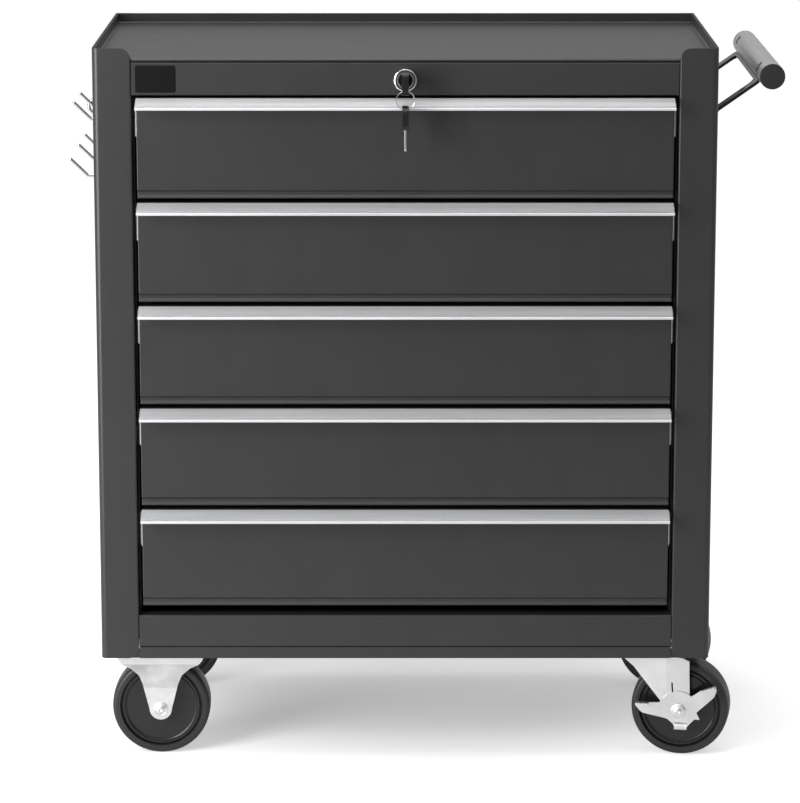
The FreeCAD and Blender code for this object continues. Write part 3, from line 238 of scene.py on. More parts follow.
class Form:
    """Vertices in millimetres and faces, gathered from simple operations into one mesh."""

    def __init__(self):
        self.verts = []
        self.faces = []

    def add(self, verts, faces):
        start = len(self.verts)
        self.verts += [Vector(v) for v in verts]
        self.faces += [tuple(start + i for i in face) for face in faces]
        return self

    def skin(self, rings, closed=False):
        """Joins rings of equal counts, and closes the two ends unless the rings run round."""
        count = len(rings[0])
        verts = [spot for ring in rings for spot in ring]
        faces = []
        for i in range(len(rings) if closed else len(rings) - 1):
            j = (i + 1) % len(rings)
            for k in range(count):
                n = (k + 1) % count
                faces.append((i * count + k, i * count + n, j * count + n, j * count + k))
        if not closed:
            last = (len(rings) - 1) * count
            faces += [tuple(reversed(range(count))), tuple(range(last, last + count))]
        return self.add(verts, faces)

    def prism(self, outline, axis, low, high, ease=0.0, high_ease=None):
        """An outline pushed along an axis, with its rims rounded where an ease is given."""
        low, high = sorted((low, high))
        layers = []
        for end, way, own in ((low, 1, ease), (high, -1, ease if high_ease is None else high_ease)):
            turns = [math.radians(30 * k) for k in range(4 if own else 1)]
            layers += [(end + way * own * (1 - math.cos(a)), own * (1 - math.sin(a))) for a in turns][::way]
        rings = []
        for level, depth in layers:
            ring = inset(outline, depth) if depth > 1e-6 else outline
            rings.append([AXES[axis](u, v, level) for u, v in ring])
        return self.skin(rings)

    def pattern(self, outline, holes, place, low, high, creases=()):
        """A flat plate with holes, carried to its place by a function of (u, v, level)."""
        spots = []
        edges = []
        for ring in [outline, *holes]:
            start = len(spots)
            spots += [Vector(spot) for spot in ring]
            edges += [(start + i, start + (i + 1) % len(ring)) for i in range(len(ring))]
        low_v = min(v for _, v in outline) - 1
        high_v = max(v for _, v in outline) + 1
        for crease in creases:
            edges.append((len(spots), len(spots) + 1))
            spots += [Vector((crease, low_v)), Vector((crease, high_v))]
        flat, _, triangles, *_ = delaunay_2d_cdt(spots, edges, [], 0, 1e-5)
        boxes = [(min(h)[0], max(h)[0], min(v for _, v in h), max(v for _, v in h)) for h in holes]
        kept = []
        for triangle in triangles:
            u, v = sum((flat[i] for i in triangle), Vector((0, 0))) / 3
            if inside((u, v), outline) and not any(
                    a < u < b and c < v < d and inside((u, v), hole)
                    for (a, b, c, d), hole in zip(boxes, holes)):
                kept.append(tuple(triangle))
        used = sorted({i for triangle in kept for i in triangle})
        number = {old: new for new, old in enumerate(used)}
        kept = [tuple(number[i] for i in triangle) for triangle in kept]
        count = len(used)
        verts = [place(*flat[i], level) for level in (low, high) for i in used]
        drawn = {(a, b) for t in kept for a, b in zip(t, t[1:] + t[:1])}
        faces = [tuple(reversed(t)) for t in kept]
        faces += [tuple(count + i for i in t) for t in kept]
        faces += [(a, b, count + b, count + a) for a, b in drawn if (b, a) not in drawn]
        return self.add(verts, faces)

    def plate(self, outline, holes, axis, low, high):
        """A flat plate with holes."""
        return self.pattern(outline, holes, AXES[axis], low, high)

    def sheet(self, fold, gauge, outline, axis, holes=(), matrix=Matrix()):
        """A folded sheet, its flat pattern drawn by the length along the fold and the place across."""

        def place(length, across, level):
            spot = fold.place(length, level)
            return matrix @ AXES[axis](spot.x, spot.y, across)

        return self.pattern(outline, holes, place, -gauge / 2, gauge / 2, fold.creases)

    def lathe(self, profile, centre, direction, segments=48, closed=False):
        """A profile of (distance along, radius) pairs turned about a line through the centre."""
        along = Vector(direction).normalized()
        across = along.orthogonal().normalized()
        third = along.cross(across)
        ways = [across * u + third * v for u, v in circle((0, 0), 1, segments)]
        return self.skin([[Vector(centre) + along * d + way * r for way in ways] for d, r in profile], closed)

    def tube(self, spots, radius, sides=12):
        """A round bar along a line of points, with eased ends."""
        spots = [Vector(spot) for spot in spots]
        turns = [math.radians(a) for a in (88, 60, 30, 0)]
        eased = [(radius * (1 - math.sin(a)), radius * max(math.cos(a), 0.05)) for a in turns]
        first = (spots[1] - spots[0]).normalized()
        last = (spots[-2] - spots[-1]).normalized()
        stops = [(spots[0] + first * d, r) for d, r in eased]
        stops += [(spot, radius) for spot in spots[1:-1]]
        stops += [(spots[-1] + last * d, r) for d, r in reversed(eased)]
        rings = []
        normal = (stops[1][0] - stops[0][0]).orthogonal()
        for i, (spot, own) in enumerate(stops):
            along = (stops[min(i + 1, len(stops) - 1)][0] - stops[max(i - 1, 0)][0]).normalized()
            normal = (normal - along * normal.dot(along)).normalized()
            third = along.cross(normal)
            rings.append([spot + normal * u + third * v for u, v in circle((0, 0), own, sides)])
        return self.skin(rings)

    def ball(self, centre, radius, segments=10):
        """A small ball."""
        turns = [math.pi * i / (segments // 2) for i in range(segments // 2 + 1)]
        profile = [(-radius * math.cos(a), max(radius * math.sin(a), radius * 0.02)) for a in turns]
        return self.lathe(profile, centre, (0, 1, 0), segments)

    def turned(self, matrix):
        """The same form moved by a matrix."""
        self.verts = [matrix @ v for v in self.verts]
        return self


SHARP = math.radians(35)


def piece(name, form, finish, replaces=None, bevel=0.0, body="cabinet", segments=2):
    """A finished object from a form: cleaned, smoothed between its sharp edges, and riding on its body."""
    slot, material = finish
    mesh = bpy.data.meshes.new(name)
    mesh.from_pydata([v * MM + SHIFT for v in form.verts], [], form.faces)
    work = bmesh.new()
    work.from_mesh(mesh)
    bmesh.ops.remove_doubles(work, verts=work.verts, dist=1e-6)
    bmesh.ops.recalc_face_normals(work, faces=work.faces)
    work.to_mesh(mesh)
    work.free()
    mesh.polygons.foreach_set("use_smooth", [True] * len(mesh.polygons))
    mesh.set_sharp_from_angle(angle=SHARP)
    mesh.materials.append(material)
    obj = bpy.data.objects.new(name, mesh)
    bpy.context.scene.collection.objects.link(obj)
    if bevel:
        edge = obj.modifiers.new("Edges", "BEVEL")
        edge.width = bevel * MM
        edge.segments = segments
        edge.limit_method = "ANGLE"
        edge.angle_limit = SHARP
    normals = obj.modifiers.new("Normals", "WEIGHTED_NORMAL")
    normals.keep_sharp = True
    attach(obj, body)
    if replaces:
        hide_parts(replaces)
    return obj


def finish_node(finish, *nodes):
    """Gives carried-over nodes a finished material."""
    for name in nodes:
        mesh = frame["nodes"][name].data
        mesh.materials.clear()
        mesh.materials.append(finish[1])


# Materials


class Tree:
    """The node tree of a material or a world, with short calls to add and join its nodes."""

    def __init__(self, owner, shader="Principled BSDF"):
        owner.use_nodes = True
        self.owner = owner
        self.nodes = owner.node_tree.nodes
        self.shader = self.nodes[shader]
        self.coordinates = self.nodes.new("ShaderNodeTexCoord").outputs
        self.place = self.coordinates["Object"]

    def put(self, node, socket, value):
        """Links or sets one socket."""
        if isinstance(value, bpy.types.NodeSocket):
            self.owner.node_tree.links.new(value, node.inputs[socket])
        else:
            node.inputs[socket].default_value = value

    def add(self, kind, output, sockets, **settings):
        """A new node's output, with the node's settings made and its sockets linked or set."""
        node = self.nodes.new("ShaderNode" + kind)
        for key, value in settings.items():
            setattr(node, key, value)
        for socket, value in sockets.items():
            self.put(node, socket, value)
        return node.outputs[output]

    def scaled(self, scale):
        """The place of a point, stretched per axis."""
        return self.add("Mapping", "Vector", {"Vector": self.place, "Scale": scale})

    def noise(self, scale, detail=3.0, roughness=0.5, stretch=(1, 1, 1)):
        """Noise of so many features per metre, along each axis."""
        place = self.scaled(tuple(scale * s for s in stretch))
        sockets = {"Vector": place, "Scale": 1.0, "Detail": detail, "Roughness": roughness}
        return self.add("TexNoise", "Fac", sockets)

    def bands(self, scale, turn):
        """Diagonal stripes of so many per metre."""
        sockets = {"Vector": self.scaled((turn, 1, 1)), "Scale": scale}
        return self.add("TexWave", "Fac", sockets, bands_direction="DIAGONAL")

    def spread(self, source, low, high, to_low, to_high, kind="LINEAR"):
        """A value's range moved to another, held at its ends."""
        sockets = {"Value": source, "From Min": low, "From Max": high, "To Min": to_low, "To Max": to_high}
        return self.add("MapRange", "Result", sockets, interpolation_type=kind)

    def eased(self, *values):
        """A value's range moved smoothly to another."""
        return self.spread(*values, "SMOOTHSTEP")

    def maths(self, operation, first, second):
        return self.add("Math", 0, {0: first, 1: second}, operation=operation)

    def mix(self, factor, first, second):
        """A colour between two."""
        first, second = ((*c, 1) if isinstance(c, tuple) else c for c in (first, second))
        return self.add("Mix", 2, {0: factor, 6: first, 7: second}, data_type="RGBA")

    def tones(self, source, low, high, colour, dark, light):
        """A colour from darker to lighter over a value's range."""
        return self.mix(self.spread(source, low, high, 0.0, 1.0), shade(colour, dark), shade(colour, light))

    def flecks(self, tone, source, low, high, share, colour):
        """A tone with a share of another colour where a value is high."""
        return self.mix(self.spread(source, low, high, 0.0, share), tone, colour)

    def bump(self, height, depth, strength=1.0, under=None):
        """A bump of so many metres over another."""
        sockets = {"Height": height, "Distance": depth, "Strength": strength}
        return self.add("Bump", "Normal", {**sockets, "Normal": under} if under else sockets)

    def axis(self, source, letter):
        """One of a vector's three numbers."""
        return self.add("SeparateXYZ", letter, {0: source})

    def ray(self, kind):
        """Whether the ray is of a kind."""
        return self.add("LightPath", f"Is {kind} Ray", {})

    def mirror(self):
        """Whether the ray comes from a shiny or a clear surface."""
        return self.maths("MAXIMUM", self.ray("Glossy"), self.ray("Transmission"))

    def set(self, **values):
        """Values or links for the shader's sockets."""
        for key, value in values.items():
            self.put(self.shader, key.replace("_", " "), value)
        return self.owner


def material_tree(name):
    return Tree(bpy.data.materials.new(name))


def shade(colour, factor):
    """A colour made lighter or darker."""
    return tuple(min(c * factor, 1.0) for c in colour)


def powder_coat(name, colour, roughness=0.36, grain=1100.0):
    """Baked powder paint: fine orange peel over slightly wavy sheet, with faint handling marks."""
    tree = material_tree(name)
    marks = tree.noise(38.0, 6.0, 0.62, (1.0, 1.0, 0.35))
    tone = tree.tones(marks, 0.35, 0.7, colour, 0.96, 1.04)
    tone = tree.flecks(tone, tree.noise(2600.0, 1.0), 0.66, 0.78, 0.3, shade(colour, 1.5))
    rough = tree.spread(marks, 0.3, 0.72, roughness - 0.015, roughness + 0.02)
    normal = tree.bump(tree.noise(7.0, 1.0, 0.4), 0.0003, 0.05)
    normal = tree.bump(tree.noise(grain, 2.0), 0.000012, 0.5, normal)
    return tree.set(Base_Color=tone, Roughness=rough, Normal=normal, IOR=1.5)


def brushed(name, colour, along, roughness=0.3, contrast=0.12, lines=900.0, metal=1.0):
    """Metal with fine lines along one axis."""
    tree = material_tree(name)
    stretch = tuple(0.012 if axis == along else 1.0 for axis in "xyz")
    grain = tree.noise(lines, 4.0, 0.65, stretch)
    broad = tree.noise(lines / 6, 3.0, 0.6, stretch)
    both = tree.maths("ADD", tree.maths("MULTIPLY", grain, 0.6), tree.maths("MULTIPLY", broad, 0.4))
    tone = tree.tones(both, 0.36, 0.64, colour, 1 - contrast, 1 + contrast)
    rough = tree.spread(both, 0.35, 0.65, roughness - 0.05, roughness + 0.08)
    return tree.set(Base_Color=tone, Metallic=metal, Roughness=rough, Normal=tree.bump(both, 0.000008, 0.35))


def zinc_plate(name, colour, roughness=0.26):
    """Bright zinc plating: soft patches and small scuffs."""
    tree = material_tree(name)
    patch = tree.noise(45.0, 5.0, 0.6)
    scuffs = tree.noise(160.0, 5.0, 0.7, (1.0, 1.0, 0.1))
    tone = tree.tones(patch, 0.35, 0.65, colour, 0.95, 1.04)
    tone = tree.flecks(tone, scuffs, 0.62, 0.75, 0.35, shade(colour, 0.75))
    rough = tree.spread(patch, 0.3, 0.7, roughness - 0.05, roughness + 0.1)
    normal = tree.bump(tree.noise(520.0, 3.0, 0.6), 0.00001, 0.3)
    return tree.set(Base_Color=tone, Metallic=1.0, Roughness=rough, Normal=normal)


def chrome(name, colour=(0.80, 0.81, 0.82), roughness=0.07):
    """Polished chrome with hair scratches."""
    tree = material_tree(name)
    haze = tree.noise(60.0)
    rough = tree.spread(haze, 0.3, 0.7, roughness - 0.02, roughness + 0.05)
    tone = tree.mix(haze, shade(colour, 0.94), shade(colour, 1.05))
    normal = tree.bump(tree.noise(700.0, 3.0, 0.7, (1.0, 0.06, 1.0)), 0.000004, 0.25)
    return tree.set(Base_Color=tone, Metallic=1.0, Roughness=rough, Normal=normal)


def moulded(name, colour, roughness=0.42, grain=1600.0, scuff=0.3, ior=1.48):
    """Moulded plastic or rubber: fine spark texture, dull patches and pale scuffs."""
    tree = material_tree(name)
    patch = tree.noise(30.0, 4.0, 0.6)
    tone = tree.tones(patch, 0.35, 0.7, colour, 0.9, 1.12)
    tone = tree.flecks(tone, tree.noise(210.0, 6.0, 0.72), 0.60, 0.78, scuff, shade(colour, 1.8))
    rough = tree.spread(patch, 0.3, 0.7, roughness - 0.05, roughness + 0.08)
    normal = tree.bump(tree.noise(grain, 2.0, 0.6), 0.00002, 0.4)
    return tree.set(Base_Color=tone, Roughness=rough, Normal=normal, IOR=ior)


def foam(name, colour):
    """A soft drawer liner with a fine diamond emboss."""
    tree = material_tree(name)
    cells = tree.noise(2400.0, 2.0, 0.6)
    tone = tree.tones(cells, 0.3, 0.7, colour, 0.8, 1.25)
    cross = tree.maths("MAXIMUM", tree.bands(60.0, 1), tree.bands(60.0, -1))
    normal = tree.bump(cells, 0.00004, 0.5, tree.bump(cross, 0.0004, 0.6))
    return tree.set(Base_Color=tone, Roughness=0.85, Normal=normal)


# Finishes: the record's slot and the material
PAINT = "cabinet_paint", powder_coat("cabinet_powder_coat", (0.0278, 0.0281, 0.0288))
INNER_PAINT = "inner_paint", powder_coat("inner_powder_coat", (0.025, 0.0253, 0.026), 0.44, 900.0)
HANDLE_PAINT = "handle_paint", powder_coat("handle_powder_coat", (0.013, 0.013, 0.0135), 0.20, 1300.0)
TUBE_PAINT = "pull_aluminium", brushed("tube_satin", (0.62, 0.62, 0.625), "y", 0.30, 0.05, 900.0, 0.85)
PULL_METAL = "pull_aluminium", brushed("pull_anodised", (0.72, 0.725, 0.735), "x", 0.46, 0.10, 900.0, 0.5)
SLIDE_METAL = "slide_steel", zinc_plate("slide_zinc", (0.62, 0.63, 0.64))
CASTER_METAL = "caster_steel", zinc_plate("caster_zinc", (0.86, 0.863, 0.868), 0.34)
LOCK_METAL = "lock_steel", zinc_plate("lock_zinc", (0.55, 0.55, 0.54), 0.34)
CHROME = "lock_chrome", chrome("lock_chrome")
HOOK_CHROME = "hook_chrome", chrome("hook_chrome", (0.72, 0.72, 0.73), 0.10)
TYRE_RUBBER = "wheel_plastic", moulded("tyre_rubber", (0.020, 0.020, 0.021), 0.40, 900.0)
WHEEL_PLASTIC = "wheel_plastic", moulded("wheel_plastic", (0.011, 0.011, 0.012), 0.24, 1200.0, 0.15)
CAP_PLASTIC = "cap_plastic", moulded("cap_plastic", (0.016, 0.016, 0.017), 0.50)
KEY_PLASTIC = "key_plastic", moulded("key_plastic", (0.008, 0.008, 0.008), 0.34, 1800.0, 0.2, 1.42)
BADGE_PLASTIC = "key_plastic", moulded("badge_plastic", (0.003, 0.003, 0.003), 0.5, 1800.0, 0.1, 1.24)
KEY_STEEL = "lock_steel", brushed("key_steel", (0.72, 0.71, 0.69), "z", 0.22, 0.10)
LINER_FOAM = "cap_plastic", foam("liner_foam", (0.030, 0.030, 0.032))
BALL_CHROME = "slide_steel", CHROME[1]
CAGE_METAL = "slide_steel", LOCK_METAL[1]
RACE_METAL = "caster_steel", LOCK_METAL[1]
# Black plastic laid in the chrome bezel's groove is painted shade.
GROOVE_PAINTED_SHADE = "lock_chrome", BADGE_PLASTIC[1]


# Shell

BEND = 1.4
CORNER = 5.4
POST_RETURN = 20
FLANGE = 15
PEG_PITCH = 25.4
PEG_ROWS = 8
PEG_HALF = 3.25


def side_panel(name, sign, holes):
    """A side sheet: the post's return, its face, a wide outer bend, the side and the back flange."""
    fold = Fold([
        (POST + HALF, FRONT + POST_RETURN),
        (POST + HALF, FRONT + HALF),
        (SIDE - HALF, FRONT + HALF, CORNER),
        (SIDE - HALF, BACK - HALF),
        (SIDE - FLANGE, BACK - HALF),
    ], BEND, 8)
    edge = fold.creases[4]
    end = fold.length
    outline = rounded([
        (0, PAN + 0.2), (edge, PAN + 0.2), (edge, SKIRT, 10), (end, SKIRT),
        (end, TOP), (edge, TOP, 10), (edge, UNDER - 0.2), (0, UNDER - 0.2),
    ], 0, 9)
    side_start = fold.creases[2 * len(fold.creases) // 3 - 1]
    first = side_start - fold.place(side_start, 0).y
    cuts = [box_outline(first + y - PEG_HALF, z - PEG_HALF, first + y + PEG_HALF, z + PEG_HALF, 0.8, 3)
            for y, z in holes]
    form = Form().sheet(fold, GAUGE, outline, "z", cuts, Matrix.Diagonal((sign, 1, 1, 1)))
    piece(name, form, PAINT, name, 0.25)


def peg_places():
    """The peg holes' middles, on their grid in the left side."""
    first = BACK - 50 - 8 * PEG_PITCH
    return [(first + column * PEG_PITCH, TOP - 39.4 - row * PEG_PITCH)
            for column in range(9) for row in range(PEG_ROWS)]


def rim_strip(wall):
    """The section of a rim strip before a wall, coved into the floor and rounded at its top."""
    thin, cove = wall - 1, 1.6
    strip = [(thin - cove, FLOOR), (wall, FLOOR), (wall, TOP), (thin, TOP)]
    strip += arc((thin - cove, FLOOR + cove), cove, 0, -90, 4)[:-1]
    return rounded([(u, v, 0.4 if v == TOP else 0) for u, v in strip])


def top_tray():
    """The top sheet with its rolled front lip, and the rim strips coved into it."""
    face, level = FRONT + HALF, FLOOR - HALF
    fold = Fold([(face, FLOOR - 2.6), (face, level), (BACK_SHEET, level)], 1.5, 8)
    wide, end = fold.at(0, FRONT + GAUGE + 0.6), fold.length
    narrow = POST - FIT
    outline = mirrored([(0, narrow), (wide, narrow), (wide, SIDE - 6.5), (wide + 5, INNER), (end, INNER)])
    piece("top_tray_sheet", Form().sheet(fold, GAUGE, outline, "x"), PAINT, "top_tray", 0.2)

    form = Form()
    wall = INNER - 0.5
    for sign in SIDES:
        form.prism([(sign * u, v) for u, v in rim_strip(wall)], "y", FRONT + 6.5, BACK_SHEET - 0.05)
    form.prism(rim_strip(BACK_SHEET - 0.5), "x", -wall + 1.1, wall - 1.1)
    piece("top_tray_rim", form, PAINT, "top_rim")


def rails():
    """The folded rails above and below the drawers, the upper one with the lock's hole."""
    width = POST - FIT
    for name in ("lock_rail", "kick_rail"):
        low, high = span(name)
        path = [(high.y, high.z - HALF), (FRONT + HALF, high.z - HALF), (FRONT + HALF, low.z)]
        if name == "lock_rail":
            path[2:] = [(FRONT + HALF, low.z + HALF), (high.y, low.z + HALF)]
        fold = Fold(path, 1.5)
        holes = [circle((fold.at(1, LOCK_Z), 0), 9.7)] if name == "lock_rail" else []
        form = Form().sheet(fold, GAUGE, box_outline(0, -width, fold.length, width), "x", holes)
        piece(f"{name}_sheet", form, PAINT, name, 0.2)


def base():
    """The bottom sheet, whose front skirt steps out flush with the posts below the kick rail."""
    low, high = span("base_pan")
    step = span("kick_rail")[0].z - 1.4
    fold = Fold([
        (high.y - HALF, low.z), (high.y - HALF, PAN - HALF), (FRONT + 6, PAN - HALF),
        (FRONT + 6, step + 1.6), (FRONT + HALF, step - HALF), (FRONT + HALF, SKIRT),
    ], 1.5, 5)
    wide = fold.creases[2 * len(fold.creases) // 4 - 1] - 8
    narrow = POST - FIT
    outline = mirrored([(0, high.x), (wide, high.x), (wide, narrow), (fold.length, narrow)])
    form = Form().sheet(fold, GAUGE, outline, "x")
    # The side skirts, and the tabs that close the corners behind the posts
    skirt = box_outline(FRONT + 22, low.z, high.y - 2, PAN - 1.5)
    tab = box_outline(FRONT + GAUGE + 0.1, SKIRT + 0.1, FRONT + 2 * GAUGE, step - 1.4)
    for sign in SIDES:
        form.prism(skirt, "x", sign * (high.x - GAUGE), sign * high.x)
        form.prism(tab, "x", sign * (POST - 6), sign * (POST + 13))
    piece("base_sheet", form, PAINT, "base_pan", 0.2)


def rivets():
    """Pop rivets that hold the back sheet to the tray's rim and to the base pan."""
    form = Form()
    face = span("back_panel")[1].y
    dome = [(0, 3.0), (0.25, 2.95), (0.6, 2.5), (0.85, 1.8), (0.95, 1.2), (0.6, 1.0), (0.55, 0.05)]
    for z in (FLOOR + 5, PAN - 9):
        for step in range(-3, 4):
            form.lathe(dome, (step * 92, face, z), (0, 1, 0), 20)
    piece("back_rivets", form, LOCK_METAL)


def badge():
    """A bare dark plate at the left end of the rail above the drawers."""
    form = Form().prism(box_outline(-265.5, 685.5, -226, 712.2, 2.2), "y", FRONT - 0.9, FRONT - 0.02, 0.45, 0)
    piece("bare_plate", form, BADGE_PLASTIC)


# Slides

RAIL_FACE = span("slide_outer_members")[1].x
SLIDE_FRONT, SLIDE_BACK = (corner.y for corner in span("slide_outer_members"))
BOX_SIDE, BOX_BACK, _ = span("drawer_1_tray")[1]
BALL_PITCH = 12.5
BALL_COUNT = 16
# The ball rows' heights about the slide's middle, and those of the cage strips over them
BALL_ROWS = ((14.6, 14.8), (10.75, 10.55), (-10.75, -10.55), (-14.6, -14.8))


def channel(form, web, tip, half, level, end):
    """Two mirrored channels whose webs stand at a place across and whose flanges reach to the tips."""
    edge = half - HALF
    fold = Fold([(tip, edge), (web, edge), (web, -edge), (tip, -edge)], 1.3, 4)
    for sign in SIDES:
        form.prism([(sign * u, v + level) for u, v in fold.section(GAUGE)], "y", SLIDE_FRONT, end)


def slides():
    """Outer channels, middle channels with their ball rows in cages, and the drawers' runners."""
    outer = Form()
    for number in DRAWERS:
        drawer = f"drawer_{number}"
        level = middle(f"{drawer}_runners").z
        moving, balls, cages, runner = Form(), Form(), Form(), Form()
        channel(outer, RAIL_FACE - 0.6, BOX_SIDE + 2.5, 17.5, level, SLIDE_BACK)
        channel(moving, RAIL_FACE - 3.8, RAIL_FACE - 11, 13.3, level, SLIDE_BACK - 20)
        channel(runner, BOX_SIDE + 0.6, RAIL_FACE - 6, 9.1, level, BOX_BACK - 15)
        stop = box_outline(SLIDE_BACK - 5, level - 6, SLIDE_BACK - 3.5, level + 6)
        head = [(0, 3.2), (0.5, 3.1), (1.1, 2.4), (1.5, 1.4), (1.6, 0.1)]
        for sign in SIDES:
            outer.prism(stop, "x", sign * (RAIL_FACE - 1.2), sign * (RAIL_FACE - 4))
            x = sign * (RAIL_FACE - 8.75)
            start = SLIDE_FRONT + 24
            for row, edge in BALL_ROWS:
                for step in range(BALL_COUNT):
                    balls.ball((x, start + BALL_PITCH * step, level + row), 1.25)
                cage = box_outline(x - 2.2, level + edge - 0.45, x + 2.2, level + edge + 0.45, 0.3, 2)
                cages.prism(cage, "y", start - 4, start + BALL_PITCH * (BALL_COUNT - 1) + 4)
            for y in (SLIDE_FRONT + 30, 0, 95):
                runner.lathe(head, (sign * (BOX_SIDE + 1.2), y, level), (sign, 0, 0), 16)
        middles = f"{drawer}_middles"
        piece(middles, moving, SLIDE_METAL, f"{drawer}_slide_middles", body=middles)
        piece(f"{drawer}_balls", balls, BALL_CHROME, body=middles)
        piece(f"{drawer}_cages", cages, CAGE_METAL, body=middles)
        piece(f"{drawer}_runner_pair", runner, SLIDE_METAL, f"{drawer}_runners", body=drawer)
    piece("outer_slides", outer, SLIDE_METAL, "slide_outer_members")


# Drawers

FRONT_HEIGHT = span("drawer_1_front")[1].z - span("drawer_1_front")[0].z
FRONT_HALF, BOX_FRONT, _ = span("drawer_1_front")[1]


def drawer_front(drawer):
    """A pressed front: face, bead and lips in one bent section, closed by side returns with rounded edges."""
    top = span(f"{drawer}_front")[1].z
    foot = top - FRONT_HEIGHT
    lip = BOX_FRONT - 0.5
    fold = Fold([
        (lip, top - 14),
        (lip, top - 0.5, 1.0),
        (FRONT + 0.5, top - 0.5, 1.2),
        (FRONT + 0.5, foot + 9.2, 1.0),
        (FRONT + 3.2, foot + 6.9, 1.0),
        (FRONT + 3.2, foot + 4.0, 1.0),
        (FRONT + 0.6, foot + 0.6, 0.6),
        (lip, foot + 0.6, 1.0),
        (lip, foot + 14),
    ], 1.0, 4)
    form = Form().prism(fold.section(1.0), "x", -FRONT_HALF + 1.2, FRONT_HALF - 1.2)
    # The returns follow the outer skin and leave out the ends of the lips.
    skin = [tuple(spot - normal * 0.5) for _, spot, normal in fold.stations[1:-1]]
    form.prism(skin, "x", FRONT_HALF - 1.3, FRONT_HALF, 0, 0.9)
    form.prism(skin, "x", -FRONT_HALF, -FRONT_HALF + 1.3, 0.9, 0)
    piece(f"{drawer}_face", form, PAINT, f"{drawer}_front", body=drawer)


def drawer_pull(drawer):
    """The extruded pull: a sloping ledge with one shallow groove, and a bright nose undercut behind."""
    low, high = span(f"{drawer}_pull")
    top, nose, heel = high.z, low.y, high.z - 9.7
    start, end = Vector((FRONT - 0.4, top)), Vector((nose + 4.9, top - 6.05))
    normal = Vector((end.y - start.y, start.x - end.x)).normalized()
    slope = [tuple(start.lerp(end, part) + normal * depth)
             for part, depth in ((0, 0), (0.62, 0), (0.64, -0.15), (0.66, 0), (1, 0))]
    tip = [
        (nose + 6.2, top - 6.9, 0.2), (nose + 6.2, top - 8.0, 0.2),
        (nose + 2.8, top - 8.0, 0.2), (nose + 2.6, top - 6.7, 0.5),
        (nose, top - 6.7, 1.3), (nose, heel, 1.3),
        (nose + 2.6, heel, 0.4), (nose + 2.6, heel + 0.6, 0.2), (nose + 7.0, heel + 0.6, 0.5),
        (FRONT - 1.7, top - 3.2, 1.0), (FRONT - 1.6, top - 12, 0.5),
        (FRONT - 0.05, top - 12, 0), (FRONT - 0.05, top, 0.3),
    ]
    form = Form().prism(rounded([(*spot, 0) for spot in slope] + tip, 0, 4), "x", -FRONT_HALF, FRONT_HALF)
    tongue = box_outline(FRONT + 1.2, top - 38, FRONT + 3.4, top - 12, 0.5, 3)
    for sign in SIDES:
        form.prism(tongue, "x", sign * (FRONT_HALF - 0.2), sign * (FRONT_HALF + 0.55))
    piece(f"{drawer}_pull_strip", form, PULL_METAL, f"{drawer}_pull", 0.12, drawer)


def drawer_tray(drawer):
    """A folded box with hemmed walls, the catch for the lock bar, and a loose liner mat."""
    low, high = span(f"{drawer}_tray")
    top = span(f"{drawer}_front")[1].z

    def ring(depth, radius, front=BOX_FRONT + 0.05, steps=4):
        """The box's outline from above, moved inwards."""
        return box_outline(-high.x + depth, front + depth, high.x - depth, high.y - 15 - depth, radius, steps)

    inner = ring(1, 1.2)
    form = Form().plate(ring(0, 1.6), [inner], "z", low.z, high.z - 7)
    form.plate(ring(0, 1.6), [ring(2.1, 1.0)], "z", high.z - 7, high.z)
    form.prism(inner, "z", low.z, low.z + 1)
    hook, ledge = high.y - 0.75, top - 17.25
    form.prism(Fold([(high.y - 15, ledge), (hook, ledge), (hook, top - 28)], 1.3, 4).section(1.5), "x", -8, 8)
    piece(f"{drawer}_box", form, INNER_PAINT, f"{drawer}_tray", 0.25, drawer)
    mat = Form().prism(ring(2.4, 6, BOX_FRONT + 0.2, 5), "z", low.z + 1.05, low.z + 3.2, 0.2, 0.7)
    piece(f"{drawer}_liner", mat, LINER_FOAM, body=drawer)


# Central lock

LOCK_Z = middle("lock_housing").z
BEZEL = span("lock_housing")[0].y
_, RING_Y, RING_Z = middle("key_ring")
BLADE_HALF = 1.05


def lock():
    """A turned chrome bezel whose groove is lined with black as painted shade, the plug with its keyway and
    dark face, and the barrel.
    """
    ring = [
        (5, 11.5), (1.4, 11.5), (0.5, 11.15), (0, 10.4), (0, 9.9), (0.9, 9.5), (0.9, 8.95), (0.1, 8.7),
        (0.1, 8.2), (0.5, 7.92), (27, 7.92), (27, 9.5), (5.05, 9.5),
    ]
    mouth = (0, BEZEL, LOCK_Z)
    piece("lock_bezel", Form().lathe(ring, mouth, (0, 1, 0), 64, True), CHROME, "lock_housing")
    face = circle((0, LOCK_Z), 7.85, 48)
    slot = box_outline(-1.2, LOCK_Z - 4.2, 1.2, LOCK_Z + 4.2, 0.3, 3)
    form = Form().plate(face, [slot], "y", BEZEL + 1.2, BEZEL + 20).prism(face, "y", BEZEL + 20, BEZEL + 29)
    piece("lock_cylinder", form, CHROME, "lock_plug", 0.3, "lock")
    form = Form().plate(circle((0, LOCK_Z), 7.2, 48), [slot], "y", BEZEL + 0.75, BEZEL + 1.2)
    piece("lock_face_cover", form, BADGE_PLASTIC, bevel=0.2, body="lock")
    # Painted shade: a black ring lines the bottom of the chrome bezel's groove.
    groove = [(0.62, 8.75), (0.62, 9.6), (0.95, 9.6), (0.95, 8.75)]
    piece("lock_bezel_groove_painted_shade", Form().lathe(groove, mouth, (0, 1, 0), 64, True), GROOVE_PAINTED_SHADE)


def key_bow(y, z, length, eye):
    """A moulded bow in the plane across X, drawn about its middle, with an eye for the ring."""
    outline = box_outline(y - length / 2, z - 11.5, y + length / 2, z + 11.5, 6.5, 6)
    return Form().plate(outline, [circle(eye, 2.5, 20)], "x", -3.25, 3.25)


